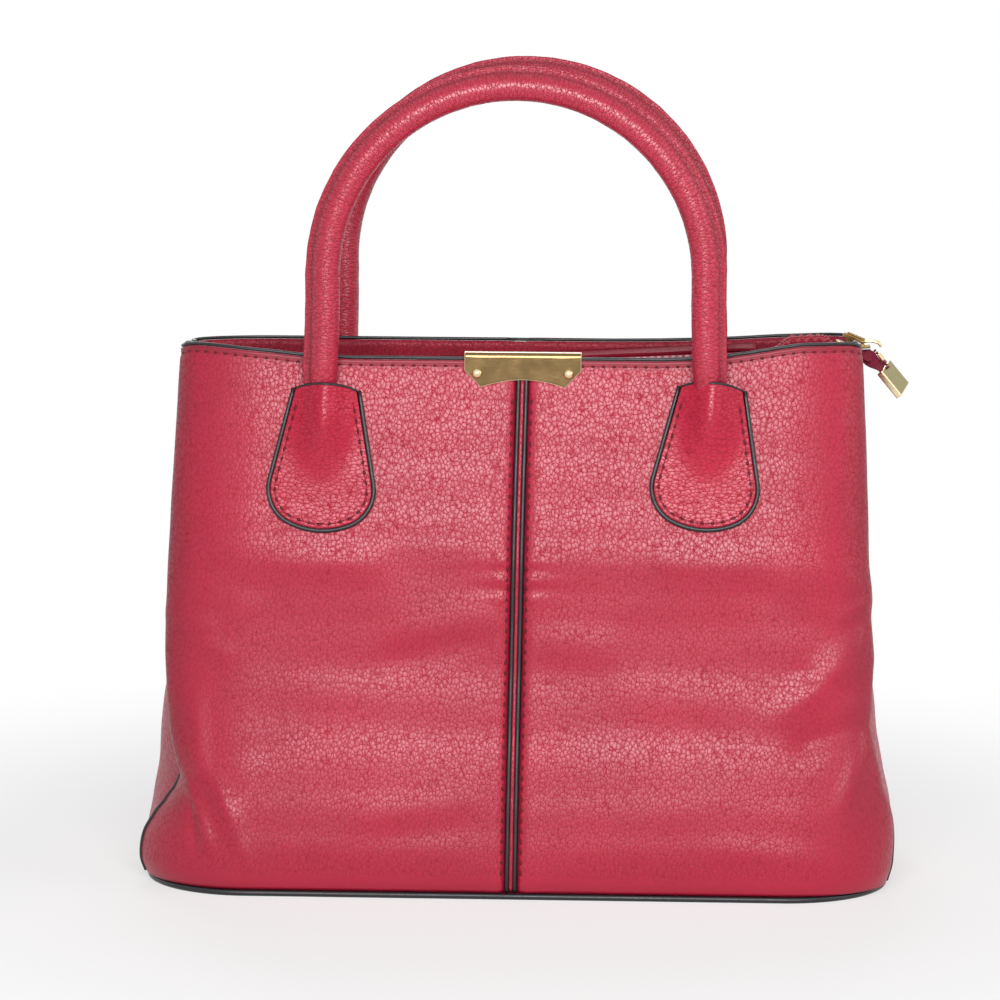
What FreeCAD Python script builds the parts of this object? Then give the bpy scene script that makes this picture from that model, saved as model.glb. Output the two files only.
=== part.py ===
import FreeCAD, Part
import Sketcher
import math
import os

# Top handle bag: a soft leather body on a flat base, two rolled handles, a recessed top zip.
# Millimetres, +Z up, front towards -Y. The origin is the centre of the base, on the floor.

Vector = FreeCAD.Vector
Rotation = FreeCAD.Rotation
Placement = FreeCAD.Placement

X_AXIS = Vector(1, 0, 0)
Y_AXIS = Vector(0, 1, 0)
Z_AXIS = Vector(0, 0, 1)
HALF_TURN = 180
QUARTER_TURN = 90

doc = FreeCAD.newDocument("top_handle_bag")

# Driving dimensions
SIZES = [
    ("base_half_width", 158.0, "half the width of the base outline"),
    ("base_half_depth", 73.0, "half the depth of the base outline"),
    ("base_corner_radius", 45.0, "corner of the base outline"),
    ("base_seam_angle", 75.0, "where the side seam meets the base corner, degrees"),
    ("ear_rounding", 39.0, "straight top edge to the top corner"),
    ("top_half_depth", 40.0, "half the depth of the mouth"),
    ("ear_inset", 14.0, "top corner inside the base width"),
    ("ear_half_depth", 16.0, "half the depth between the top corners"),
    ("fold_depth", 26.0, "gusset fold inside the top corner"),
    ("notch_radius", 10.0, "dip in the gusset fold below the zip"),
    ("notch_rise", 4.0, "centre of the dip above the panels"),
    ("body_height", 225.0, "floor to the top piping"),
    ("leather", 1.8, "outer leather"),
    ("soft_gap", 0.3, "room between soft pieces"),
    ("seam_gap", 0.5, "room at the side seams"),
    ("base_piping_diameter", 2.6, "piping round the base"),
    ("side_piping_diameter", 2.0, "piping on the side seams"),
    ("top_piping_diameter", 1.4, "piping on the top edges"),
    ("base_board_thickness", 2.5, "stiffener inside the base"),
    ("base_board_gap", 1.2, "stiffener to the leather round it"),
    ("lining_thickness", 0.6, "lining cloth"),
    ("facing_depth", 35.0, "leather facing below the top edge"),
    ("facing_thickness", 1.2, "leather of the facing and the zip panels"),
    ("strip_half_width", 0.6, "half the strip between the centre pipings"),
    ("strip_gap", 0.2, "room beside the centre strip and its pipings"),
    ("centre_piping_diameter", 1.6, "piping of the centre seam"),
    ("centre_piping_proud", 0.4, "centre piping proud of the panels"),
    ("centre_end_inset", 1.0, "centre seam to the panel ends"),
    ("tab_inset", 65.0, "middle of a tab inside the top corner"),
    ("tab_drop", 15.0, "ears of a tab below the top edge"),
    ("tab_top_half_width", 12.5, "half width of a tab at its top"),
    ("tab_half_width", 21.5, "half width of a tab at its shoulder"),
    ("tab_shoulder", 38.0, "tab top to its shoulder"),
    ("tab_corner_radius", 14.0, "rounded lower corners of a tab"),
    ("tab_bottom_radius", 30.0, "bowed lower edge of a tab"),
    ("tab_top_radius", 24.0, "bowed upper edge of a tab"),
    ("tab_thickness", 1.6, "leather of a tab"),
    ("tab_piping_diameter", 1.9, "piping round a tab"),
    ("end_length", 36.0, "handle end sewn under a tab"),
    ("end_rise", 2.5, "handle end above the ears of its tab"),
    ("end_tip_radius", 2.6, "thin end of the handle end"),
    ("end_root_radius", 5.6, "thick end of the handle end"),
    ("handle_stand", 8.2, "handle in front of the mouth"),
    ("handle_tube_radius", 6.25, "rolled handle"),
    ("handle_core_radius", 4.4, "cord core of a handle"),
    ("handle_core_gap", 0.1, "room round the core"),
    ("handle_leg", 40.2, "fold of the handle to the centre of its arch"),
    ("hinge_rise", 9.8, "fold of the handle above the ears of its tab"),
    ("fin_height", 2.8, "stitched fin on the handle"),
    ("fin_thickness", 1.6, "two edges sewn together"),
    ("plate_half_width", 24.5, "half width of the top plate"),
    ("plate_height", 14.0, "front leaf of the top plate"),
    ("plate_lip", 4.0, "inner leaf of the top plate"),
    ("plate_thickness", 1.2, "sheet metal of the top plate"),
    ("plate_head_gap", 0.9, "fold of the plate above the top piping"),
    ("plate_chamfer", 7.0, "cut lower corners of the plate"),
    ("plate_arch_radius", 55.0, "hollow lower edge of the plate"),
    ("plate_arch_rise", 3.2, "how far the hollow edge rises"),
    ("rivet_radius", 2.4, "dome of a rivet"),
    ("rivet_shank_radius", 1.0, "shank of a rivet"),
    ("rivet_inset", 5.2, "rivet to the side of the plate"),
    ("rivet_drop", 8.0, "rivet below the top of the plate"),
    ("zip_end_inset", 1.0, "resting slider inside the top corner"),
    ("zip_drop", 0.5, "zip line below the top edge at the resting slider"),
    ("zip_slope", 3.0, "fall of the zip line to the left, degrees"),
    ("flap_hinge_inset", 4.4, "fold of a zip panel inside the mouth"),
    ("flap_end_inset", 43.0, "end of a zip panel inside the resting slider"),
    ("flap_width", 22.0, "leather part of a zip panel"),
    ("tape_thickness", 0.7, "zip tape"),
    ("tape_overlap", 5.0, "tape sewn under the leather"),
    ("tape_gap", 0.2, "room between tape, leather and teeth"),
    ("tooth_pitch", 3.0, "from tooth to tooth"),
    ("tooth_length", 2.2, "tooth across the zip"),
    ("tooth_width", 1.5, "tooth along the zip"),
    ("tooth_height", 2.2, "tooth through the tape"),
    ("tooth_row_gap", 2.0, "between the open tooth rows"),
    ("end_tape_half_width", 9.0, "tape at the right end of the zip"),
    ("slider_length", 11.0, "zip slider"),
    ("slider_half_width", 4.5, "zip slider"),
    ("slider_nose_half_width", 2.6, "narrow end of the slider"),
    ("slider_plate", 1.2, "plates of the slider"),
    ("slider_gap", 0.35, "teeth to the slider plates"),
    ("slider_post_width", 1.0, "post between the plates"),
    ("slider_post_length", 3.0, "post between the plates"),
    ("crown_length", 5.5, "crown that holds the loop"),
    ("crown_width", 4.0, "crown that holds the loop"),
    ("crown_height", 3.4, "crown that holds the loop"),
    ("loop_wire_radius", 0.5, "wire loop puller"),
    ("loop_hole_gap", 0.3, "room round the wire in the crown"),
    ("loop_length", 7.5, "wire loop puller"),
    ("loop_half_width", 3.2, "wire loop puller"),
    ("loop_bend", 1.2, "corners of the wire loop"),
    ("loop_height", 2.1, "eye of the loop above the slider plate"),
    ("loop_tilt", 20.0, "resting loop below level, degrees"),
    ("tail_reach", 6.5, "bend of the tail beyond the resting slider"),
    ("tail_angle", 53.0, "resting tail below level, degrees"),
    ("tail_length", 8.4, "bare part of the tail"),
    ("tail_half_width", 7.0, "tail tape"),
    ("stop_length", 4.0, "bottom stop block"),
    ("stop_half_width", 3.0, "bottom stop block"),
    ("stop_height", 2.6, "bottom stop block"),
    ("stop_offset", 3.9, "bend of the tail to the bottom stop"),
    ("cap_length", 13.4, "metal cap on the tail"),
    ("cap_half_width", 9.5, "metal cap on the tail"),
    ("cap_thickness", 4.0, "metal cap on the tail"),
    ("cap_edge_radius", 0.8, "rounded edges of the cap"),
    ("cap_grip", 5.0, "tape inside the cap"),
    ("overrun", 3.0, "cuts run past the faces"),
]

# Places that follow from the driving dimensions
PLACES = [
    ("ear_half_width", "=Sizes.base_half_width - Sizes.ear_inset", "half the width across the top corners"),
    ("top_half_straight", "=ear_half_width - Sizes.ear_rounding", "half the straight run of the top edge"),
    ("fold_half_width", "=ear_half_width - Sizes.fold_depth", "half the width between the gusset folds"),
    ("tab_spacing", "=ear_half_width - Sizes.tab_inset", "middle of the bag to the middle of a tab"),
    ("tab_top_height", "=Sizes.body_height - Sizes.tab_drop", "floor to the ears of the tabs"),
    ("handle_plane", "=Sizes.top_half_depth + Sizes.handle_stand", "middle of the bag to the handle"),
    ("handle_hinge_height", "=tab_top_height + Sizes.hinge_rise", "floor to the fold of the handle"),
    ("handle_arch_height", "=handle_hinge_height + Sizes.handle_leg", "floor to the centre of the arch"),
    ("zip_end_x", "=ear_half_width - Sizes.zip_end_inset", "middle of the bag to the resting slider"),
    ("zip_end_height", "=Sizes.body_height - Sizes.zip_drop", "floor to the zip line there"),
    ("flap_hinge_y", "=Sizes.top_half_depth - Sizes.flap_hinge_inset", "middle to a zip panel's fold"),
    ("flap_half_length", "=zip_end_x - Sizes.flap_end_inset", "half the length of a zip panel"),
]


def fill_sheet(name, rows):
    """Spreadsheet with one aliased cell for each row."""
    cells = doc.addObject("Spreadsheet::Sheet", name)
    for row, (alias, value, note) in enumerate(rows, start=1):
        cells.set("A%d" % row, alias)
        cells.set("B%d" % row, str(value))
        cells.set("C%d" % row, note)
        cells.setAlias("B%d" % row, alias)
    return cells


sheet = fill_sheet("Sizes", SIZES)
fill_sheet("Places", PLACES)
doc.recompute()


def size(expression):
    """Value of a sheet alias, or of a sum of aliases written as in the sheet."""
    return float(sheet.evalExpression(expression))


def bind(item, **properties):
    """Tie properties of a document object to expressions over the sheet."""
    for name, expression in properties.items():
        item.setExpression(name, expression)


subparts = []


def keep(item, label, placement):
    """Register a finished sub-part under its node name."""
    item.Label = label
    item.Placement = placement
    subparts.append(item)
    return item


def solid_feature(label, shape, placement=Placement()):
    """Sub-part whose shape is lofted or swept in code from the sheet's values."""
    item = doc.addObject("Part::Feature", label)
    item.Shape = shape
    return keep(item, label, placement)


def primitive(kind, name, placement=Placement(), **properties):
    """Part primitive bound to the sheet, placed in its piece's own frame."""
    item = doc.addObject("Part::" + kind, name)
    bind(item, **properties)
    item.Placement = placement
    return item


def joined(name, pieces):
    item = doc.addObject("Part::MultiFuse", name)
    item.Shapes = pieces
    item.Refine = True
    return item


def cut(name, base, tool):
    item = doc.addObject("Part::Cut", name)
    item.Base = base
    item.Tool = tool
    return item


def at(x, y, z, axis=Z_AXIS, degrees=0):
    return Placement(Vector(x, y, z), Rotation(axis, degrees))


def origin_plane(body, role):
    return [plane for plane in body.Origin.OriginFeatures if plane.Role == role][0]


def new_sketch(body, name, role):
    sketch = body.newObject("Sketcher::SketchObject", name)
    sketch.AttachmentSupport = [(origin_plane(body, role), "")]
    sketch.MapMode = "FlatFace"
    return sketch


def pin_point(sketch, edge, end, x_expression, y_expression):
    """Hold an edge's start (1) or end (2) at sheet-driven coordinates."""
    for kind, expression in (("DistanceX", x_expression), ("DistanceY", y_expression)):
        value = size(expression)
        index = sketch.addConstraint(Sketcher.Constraint(kind, -1, 1, edge, end, value))
        sketch.setExpression("Constraints[%d]" % index, expression)


def polygon_sketch(body, name, role, corners):
    """Closed outline of straight edges through corners given as expressions."""
    sketch = new_sketch(body, name, role)
    points = [Vector(size(x), size(y), 0) for x, y in corners]
    count = len(points)
    for index in range(count):
        sketch.addGeometry(Part.LineSegment(points[index], points[(index + 1) % count]))
    for index in range(count):
        sketch.addConstraint(Sketcher.Constraint("Coincident", index, 2, (index + 1) % count, 1))
    for index, (x, y) in enumerate(corners):
        pin_point(sketch, index, 1, x, y)
    return sketch


def pad(body, sketch, length):
    item = body.newObject("PartDesign::Pad", body.Name + "_pad")
    item.Profile = sketch
    bind(item, Length=length)
    return item


# Derived sizes of the body
panel_bottom = size("Sizes.base_piping_diameter + Sizes.soft_gap")
panel_top = size("Sizes.body_height - Sizes.top_piping_diameter - Sizes.soft_gap")
lean = math.atan2(size("Sizes.base_half_depth - Sizes.top_half_depth"), panel_top - panel_bottom)
leather = size("Sizes.leather")
soft_gap = size("Sizes.soft_gap")


class Corner:
    """Plan of a front corner at one height: straight run, then an arc to the side seam."""

    def __init__(self, centre_x, centre_y, radius, turn):
        self.centre = Vector(centre_x, centre_y, 0)
        self.radius = radius
        self.turn = turn

    def point(self, inset, turn):
        reach = self.radius - inset
        return self.centre + Vector(math.sin(turn), -math.cos(turn), 0) * reach

    def blend(self, other, share):
        def mix(low, high):
            return low + (high - low) * share
        return Corner(mix(self.centre.x, other.centre.x), mix(self.centre.y, other.centre.y),
                      mix(self.radius, other.radius), mix(self.turn, other.turn))


def top_corner():
    """Arc tangent to the straight top edge that ends on the ear."""
    reach = size("Places.ear_half_width - Places.top_half_straight")
    rise = size("Sizes.top_half_depth - Sizes.ear_half_depth")
    radius = (reach * reach + rise * rise) / (rise + rise)
    turn = math.atan2(reach, radius - rise)
    return Corner(size("Places.top_half_straight"), radius - size("Sizes.top_half_depth"), radius, turn)


def base_corner():
    radius = size("Sizes.base_corner_radius")
    return Corner(size("Sizes.base_half_width") - radius, radius - size("Sizes.base_half_depth"),
                  radius, math.radians(size("Sizes.base_seam_angle")))


BASE = base_corner()
TOP = top_corner()


def corner_at(height):
    """Corner plan at a height on the straight lines between base and top."""
    return BASE.blend(TOP, (height - panel_bottom) / (panel_top - panel_bottom))


def arc_through(start, middle, end):
    return Part.Arc(start, middle, end).toShape()


def lifted(point, height):
    return Vector(point.x, point.y, height)


def mirrored(point):
    return Vector(-point.x, point.y, point.z)


def line(start, end):
    return Part.LineSegment(start, end).toShape()


def half_section(corner, height, x_start, outer, inner):
    """Closed strip from x_start round the right corner, between two insets of the outline."""
    edges = []
    ends = []
    for inset in (outer, inner):
        first = lifted(Vector(x_start, corner.point(inset, 0).y, 0), height)
        bend = lifted(corner.point(inset, 0), height)
        middle = lifted(corner.point(inset, corner.turn / 2), height)
        last = lifted(corner.point(inset, corner.turn), height)
        edges.append([line(first, bend), arc_through(bend, middle, last)])
        ends.append((first, last))
    closing = line(ends[0][1], ends[1][1])
    opening = line(ends[1][0], ends[0][0])
    return Part.Wire(edges[0] + [closing] + edges[1][::-1] + [opening])


def full_section(corner, height, outer, inner):
    """Closed strip from the left side seam to the right one, between two insets."""
    edges = []
    ends = []
    for inset in (outer, inner):
        bend = lifted(corner.point(inset, 0), height)
        middle = lifted(corner.point(inset, corner.turn / 2), height)
        last = lifted(corner.point(inset, corner.turn), height)
        edges.append([arc_through(mirrored(last), mirrored(middle), mirrored(bend)),
                      line(mirrored(bend), bend), arc_through(bend, middle, last)])
        ends.append(last)
    closing = line(ends[0], ends[1])
    opening = line(mirrored(ends[1]), mirrored(ends[0]))
    return Part.Wire(edges[0] + [closing] + edges[1][::-1] + [opening])


def ruled(sections):
    return Part.makeLoft(sections, True, True)


def tube(edges, radius):
    """Round tube along tangent edges, square to the path at its start."""
    path = Part.Wire(edges)
    start = path.OrderedEdges[0]
    first = start.FirstParameter if start.Orientation == "Forward" else start.LastParameter
    heading = start.tangentAt(first)
    profile = Part.Wire(Part.makeCircle(radius, start.valueAt(first), heading))
    return path.makePipeShell([profile], True, True)


# The front half is modelled once; the back is the same half turned about Z.
SIDES = (("front", 0), ("back", HALF_TURN))


def turned(degrees, placement=Placement()):
    return Placement(Vector(), Rotation(Z_AXIS, degrees)).multiply(placement)


def hand(side, sign):
    """Left or right as seen from the front, for a sign of x in the front half's own frame."""
    return "left" if (sign < 0) == (side == "front") else "right"


def on_front(x, height, proud=0):
    """Frame on the leaning front face: local x across, y up the face, z outwards."""
    y = -size("Sizes.top_half_depth") - (panel_top - height) * math.tan(lean)
    frame = Placement(Vector(x, y, height), Rotation(X_AXIS, QUARTER_TURN - math.degrees(lean)))
    return frame.multiply(at(0, 0, proud))


def in_frame(frame, x, y, z, axis=Z_AXIS, degrees=0):
    return frame.multiply(at(x, y, z, axis, degrees))


# Base: leather panel, piping and stiffening board
STACK_INSET = "Sizes.leather + Sizes.base_board_gap"
BOARD_BOTTOM = "Sizes.base_piping_diameter + Sizes.soft_gap"
LINING_BOTTOM = BOARD_BOTTOM + " + Sizes.base_board_thickness + Sizes.soft_gap"


def rounded_plate(label, inset, bottom, thickness):
    """Plate that follows the base outline at an inset."""
    body = doc.addObject("PartDesign::Body", label)
    half_width = "(Sizes.base_half_width - (%s))" % inset
    half_depth = "(Sizes.base_half_depth - (%s))" % inset
    corners = [(x + half_width, y + half_depth) for x, y in (("-", "-"), ("", "-"), ("", ""), ("-", ""))]
    sketch = polygon_sketch(body, label + "_outline", "XY_Plane", corners)
    plate = pad(body, sketch, thickness)
    doc.recompute()
    uprights = ["Edge%d" % number for number, edge in enumerate(plate.Shape.Edges, start=1)
                if edge.BoundBox.ZLength > edge.BoundBox.XLength + edge.BoundBox.YLength]
    rounding = body.newObject("PartDesign::Fillet", label + "_corners")
    rounding.Base = (plate, uprights)
    bind(rounding, Radius="Sizes.base_corner_radius - (%s)" % inset)
    return keep(body, label, at(0, 0, size(bottom)))


def wire_ring(name, half_x, half_y, bend, wire):
    """Closed round wire along a rounded rectangle, flat in XY; the sizes are of its centre line."""
    bend_x = size("%s - %s" % (half_x, bend))
    bend_y = size("%s - %s" % (half_y, bend))
    pieces = []
    for quarter, (sx, sy) in enumerate(((1, 1), (-1, 1), (-1, -1), (1, -1))):
        corner = at(sx * bend_x, sy * bend_y, 0, Z_AXIS, quarter * QUARTER_TURN)
        turn = primitive("Torus", name + "_bend", corner, Radius1=bend, Radius2=wire)
        turn.Angle3 = QUARTER_TURN
        pieces.append(turn)
    for sign in (-1, 1):
        along_x = at(-bend_x, sign * size(half_y), 0, Y_AXIS, QUARTER_TURN)
        pieces.append(primitive("Cylinder", name + "_long", along_x, Radius=wire,
                                Height="2 * (%s - %s)" % (half_x, bend)))
        along_y = at(sign * size(half_x), bend_y, 0, X_AXIS, QUARTER_TURN)
        pieces.append(primitive("Cylinder", name + "_short", along_y, Radius=wire,
                                Height="2 * (%s - %s)" % (half_y, bend)))
    return joined(name, pieces)


BASE_CORD = "Sizes.base_piping_diameter / 2"
base_ring = wire_ring("base_piping", "(Sizes.base_half_width - %s)" % BASE_CORD,
                      "(Sizes.base_half_depth - %s)" % BASE_CORD,
                      "(Sizes.base_corner_radius - %s)" % BASE_CORD, BASE_CORD)
rounded_plate("base_panel", "Sizes.base_piping_diameter + Sizes.soft_gap", "0",
              "Sizes.base_piping_diameter")
keep(base_ring, "base_piping", at(0, 0, size(BASE_CORD)))
rounded_plate("base_board", STACK_INSET, BOARD_BOTTOM, "Sizes.base_board_thickness")
rounded_plate("base_lining", STACK_INSET, LINING_BOTTOM, "Sizes.lining_thickness")


# Body shell: front and back panels with the piped centre seam
PANEL_RISE = ("(Sizes.body_height - Sizes.top_piping_diameter - Sizes.base_piping_diameter"
              " - 2 * Sizes.soft_gap)")
PANEL_REACH = "(Sizes.base_half_depth - Sizes.top_half_depth)"
SEAM_LENGTH = "sqrt(%s ^ 2 + %s ^ 2) - 2 * Sizes.centre_end_inset" % (PANEL_RISE, PANEL_REACH)
CENTRE_PIPING_X = "Sizes.strip_half_width + Sizes.strip_gap + Sizes.centre_piping_diameter / 2"
PANEL_START = CENTRE_PIPING_X + " + Sizes.centre_piping_diameter / 2 + Sizes.strip_gap"
PIPING_PROUD = "Sizes.centre_piping_proud"


def body_panels(side, degrees):
    start = size(PANEL_START)
    for sign in (-1, 1):
        shape = ruled([half_section(BASE, panel_bottom, start, 0, leather),
                       half_section(TOP, panel_top, start, 0, leather)])
        if sign < 0:
            shape = shape.mirror(Vector(), X_AXIS)
        solid_feature("%s_%s_panel" % (side, hand(side, sign)), shape, turned(degrees))


def centre_seam(side, degrees):
    inset = size("Sizes.centre_end_inset")
    face = on_front(0, panel_bottom)
    strip = primitive("Box", side + "_strip", Length="2 * Sizes.strip_half_width", Width=SEAM_LENGTH,
                      Height="Sizes.leather")
    corner = in_frame(face, -size("Sizes.strip_half_width"), inset, -leather)
    keep(strip, side + "_centre_strip", turned(degrees, corner))
    for sign in (-1, 1):
        piping = primitive("Cylinder", side + "_centre_cord", Radius="Sizes.centre_piping_diameter / 2",
                           Height=SEAM_LENGTH)
        foot = in_frame(face, sign * size(CENTRE_PIPING_X), inset, -size(PIPING_PROUD),
                        X_AXIS, -QUARTER_TURN)
        keep(piping, "%s_%s_centre_piping" % (side, hand(side, sign)), turned(degrees, foot))


def side_pipings(side, degrees):
    """Straight piping just outside each side seam, from the base corner to the ear."""
    radius = size("Sizes.side_piping_diameter / 2")
    outside = -(radius + soft_gap)
    foot = lifted(BASE.point(outside, BASE.turn), panel_bottom)
    head = lifted(TOP.point(outside, TOP.turn), panel_top)
    for sign in (-1, 1):
        run = head - foot
        shape = Part.makeCylinder(radius, run.Length, foot, run)
        if sign < 0:
            shape = shape.mirror(Vector(), X_AXIS)
        solid_feature("%s_%s_side_piping" % (side, hand(side, sign)), shape, turned(degrees))


def top_piping(side, degrees):
    radius = size("Sizes.top_piping_diameter / 2")
    height = panel_top + soft_gap + radius
    bend = lifted(TOP.point(leather / 2, 0), height)
    middle = lifted(TOP.point(leather / 2, TOP.turn / 2), height)
    last = lifted(TOP.point(leather / 2, TOP.turn), height)
    edges = [arc_through(mirrored(last), mirrored(middle), mirrored(bend)), line(mirrored(bend), bend),
             arc_through(bend, middle, last)]
    solid_feature(side + "_top_piping", tube(edges, radius), turned(degrees))


def inner_walls(side, degrees):
    """Leather facing below the top edge, and the lining from there to the base."""
    facing_bottom = panel_top - size("Sizes.facing_depth")
    outer = leather + size("Sizes.seam_gap")
    facing = outer + size("Sizes.facing_thickness")
    lining = outer + size("Sizes.lining_thickness")
    band = ruled([full_section(corner_at(facing_bottom), facing_bottom, outer, facing),
                  full_section(TOP, panel_top, outer, facing)])
    solid_feature(side + "_facing", band, turned(degrees))
    low = size(LINING_BOTTOM + " + Sizes.lining_thickness + Sizes.soft_gap")
    high = facing_bottom - soft_gap
    cloth = ruled([full_section(corner_at(low), low, outer, lining),
                   full_section(corner_at(high), high, outer, lining)])
    solid_feature(side + "_lining", cloth, turned(degrees))


for side, degrees in SIDES:
    body_panels(side, degrees)
    centre_seam(side, degrees)
    side_pipings(side, degrees)
    top_piping(side, degrees)
    inner_walls(side, degrees)


# Gussets: each runs round the base side and folds inwards to a V at the top
def flipped(point):
    return Vector(point.x, -point.y, point.z)


def gusset_section(front_points, height, rounded):
    """Closed section from the front half's outer and inner points: seam, bend, middle."""
    chains = []
    for seam, bow, bend, middle in front_points:
        seam, bow, bend, middle = [lifted(point, height) for point in (seam, bow, bend, middle)]
        first = arc_through(seam, bow, bend) if rounded else line(seam, bend)
        last = arc_through(flipped(bend), flipped(bow), flipped(seam)) if rounded else line(flipped(bend),
                                                                                         flipped(seam))
        chains.append(([first, line(bend, middle), line(middle, flipped(bend)), last], seam))
    (outer, outer_seam), (inner, inner_seam) = chains
    closing = line(flipped(outer_seam), flipped(inner_seam))
    opening = line(inner_seam, outer_seam)
    return Part.Wire(outer + [closing] + inner[::-1] + [opening])


def gusset_base(inset):
    seam_turn = BASE.turn + size("Sizes.seam_gap") / BASE.radius
    side_turn = math.radians(QUARTER_TURN)
    bend = BASE.point(inset, side_turn)
    bow = BASE.point(inset, (seam_turn + side_turn) / 2)
    return BASE.point(inset, seam_turn), bow, bend, Vector(bend.x, 0, 0)


def gusset_top(ahead, inset):
    """V fold whose arm starts ahead of the panel's end, with its apex moved in by inset."""
    seam = TOP.point(0, TOP.turn) + Vector(math.cos(TOP.turn), math.sin(TOP.turn), 0) * ahead
    fold_angle = math.atan2(-seam.y, seam.x - size("Places.fold_half_width"))
    middle = Vector(size("Places.fold_half_width") - inset / math.sin(fold_angle), 0, 0)
    bend = seam + (middle - seam) / 2
    return seam, bend, bend, middle


def gussets():
    gap = size("Sizes.seam_gap")
    base = gusset_section([gusset_base(0), gusset_base(leather)], panel_bottom, True)
    top = gusset_section([gusset_top(gap + leather, 0), gusset_top(gap, leather)], panel_top, False)
    notch_radius = size("Sizes.notch_radius")
    start = Vector(0, 0, panel_top + size("Sizes.notch_rise"))
    notch = Part.makeCylinder(notch_radius, size("Sizes.base_half_width"), start, X_AXIS)
    shape = ruled([base, top]).cut(notch)
    solid_feature("right_gusset", shape)
    solid_feature("left_gusset", shape.mirror(Vector(), X_AXIS))


gussets()


# Tabs: leather shields over the handle ends, edged with piping
def tab_profile(outside=0):
    """Right half of a tab's outline: ear, shoulder, two arc middles and the foot, pushed outwards."""
    ear = Vector(size("Sizes.tab_top_half_width"), 0, 0)
    shoulder = Vector(size("Sizes.tab_half_width"), -size("Sizes.tab_shoulder"), 0)
    run = (shoulder - ear).normalize()
    normal = Vector(-run.y, run.x, 0)
    corner_radius = size("Sizes.tab_corner_radius")
    bottom_radius = size("Sizes.tab_bottom_radius")
    corner = shoulder - normal * corner_radius
    rise = math.sqrt((bottom_radius - corner_radius) ** 2 - corner.x ** 2)
    middle = Vector(0, corner.y + rise, 0)
    down = (corner - middle).normalize()
    between = (normal + down).normalize()
    reach = corner_radius + outside
    foot = middle + down * (bottom_radius + outside)
    bottom = middle - Y_AXIS * (bottom_radius + outside)
    return ear + normal * outside, corner + normal * reach, corner + between * reach, foot, bottom


def tab_sketch(body):
    """Shield outline, counter-clockwise from the left ear, with tangent lower arcs."""
    sketch = new_sketch(body, body.Name + "_outline", "XY_Plane")
    ear, shoulder, bow, foot, bottom = tab_profile()
    top_radius = size("Sizes.tab_top_radius")
    crest = Y_AXIS * (top_radius - math.sqrt(top_radius ** 2 - ear.x ** 2))
    for edge in (Part.LineSegment(mirrored(ear), mirrored(shoulder)),
                 Part.Arc(mirrored(shoulder), mirrored(bow), mirrored(foot)),
                 Part.Arc(mirrored(foot), bottom, foot),
                 Part.Arc(foot, bow, shoulder),
                 Part.LineSegment(shoulder, ear),
                 Part.Arc(ear, crest, mirrored(ear))):
        sketch.addGeometry(edge)
    for edge in range(4):
        sketch.addConstraint(Sketcher.Constraint("Tangent", edge, 2, edge + 1, 1))
    sketch.addConstraint(Sketcher.Constraint("Coincident", 4, 2, 5, 1))
    sketch.addConstraint(Sketcher.Constraint("Coincident", 5, 2, 0, 1))
    pin_point(sketch, 0, 1, "-Sizes.tab_top_half_width", "0")
    pin_point(sketch, 0, 2, "-Sizes.tab_half_width", "-Sizes.tab_shoulder")
    pin_point(sketch, 4, 1, "Sizes.tab_half_width", "-Sizes.tab_shoulder")
    pin_point(sketch, 4, 2, "Sizes.tab_top_half_width", "0")
    for edge, alias in ((1, "tab_corner_radius"), (2, "tab_bottom_radius"), (3, "tab_corner_radius"),
                        (5, "tab_top_radius")):
        index = sketch.addConstraint(Sketcher.Constraint("Radius", edge, size("Sizes." + alias)))
        sketch.setExpression("Constraints[%d]" % index, "Sizes." + alias)
    return sketch


END_TILT = math.degrees(math.atan2(size("Sizes.end_root_radius - Sizes.end_tip_radius"),
                                   size("Sizes.end_length")))


def end_cone(name, extra, foot, head):
    """Cone along a handle end, fatter by extra, from a foot below its tip to a head above its root."""
    taper = "(Sizes.end_root_radius - Sizes.end_tip_radius) / Sizes.end_length"
    length = "Sizes.end_length + (%s) + (%s)" % (foot, head)
    start = Placement(Vector(0, -size("Sizes.end_length"), size("Sizes.end_tip_radius")),
                      Rotation(X_AXIS, END_TILT - QUARTER_TURN))
    return primitive("Cone", name, in_frame(start, 0, 0, -size(foot)),
                     Radius1="Sizes.end_tip_radius + %s - (%s) * %s" % (extra, foot, taper),
                     Radius2="Sizes.end_root_radius + %s + (%s) * %s" % (extra, head, taper), Height=length)


def tab(label, frame):
    body = doc.addObject("PartDesign::Body", label + "_shield")
    pad(body, tab_sketch(body), "Sizes.tab_thickness")
    ridge = end_cone(label + "_ridge", "Sizes.strip_gap + Sizes.tab_thickness",
                     "Sizes.strip_gap + Sizes.tab_thickness", "0")
    bore = end_cone(label + "_bore", "Sizes.strip_gap", "Sizes.strip_gap", "Sizes.overrun")
    side = size("Sizes.tab_half_width")
    corner = at(-side, -size("2 * Sizes.tab_shoulder"), -side)
    behind = primitive("Box", label + "_behind", corner,
                       Length="2 * Sizes.tab_half_width", Width="3 * Sizes.tab_shoulder",
                       Height="Sizes.tab_half_width")
    keep(cut(label, joined(label + "_raised", [body, ridge]), joined(label + "_hollow", [bore, behind])),
         label, frame)


def tab_piping(label, frame):
    radius = size("Sizes.tab_piping_diameter / 2")
    ear, shoulder, bow, foot, bottom = tab_profile(radius + size("Sizes.strip_gap"))
    edges = [line(ear, shoulder), arc_through(shoulder, bow, foot),
             arc_through(foot, bottom, mirrored(foot)),
             arc_through(mirrored(foot), mirrored(bow), mirrored(shoulder)),
             line(mirrored(shoulder), mirrored(ear))]
    solid_feature(label, tube(edges, radius), in_frame(frame, 0, 0, radius))


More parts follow.
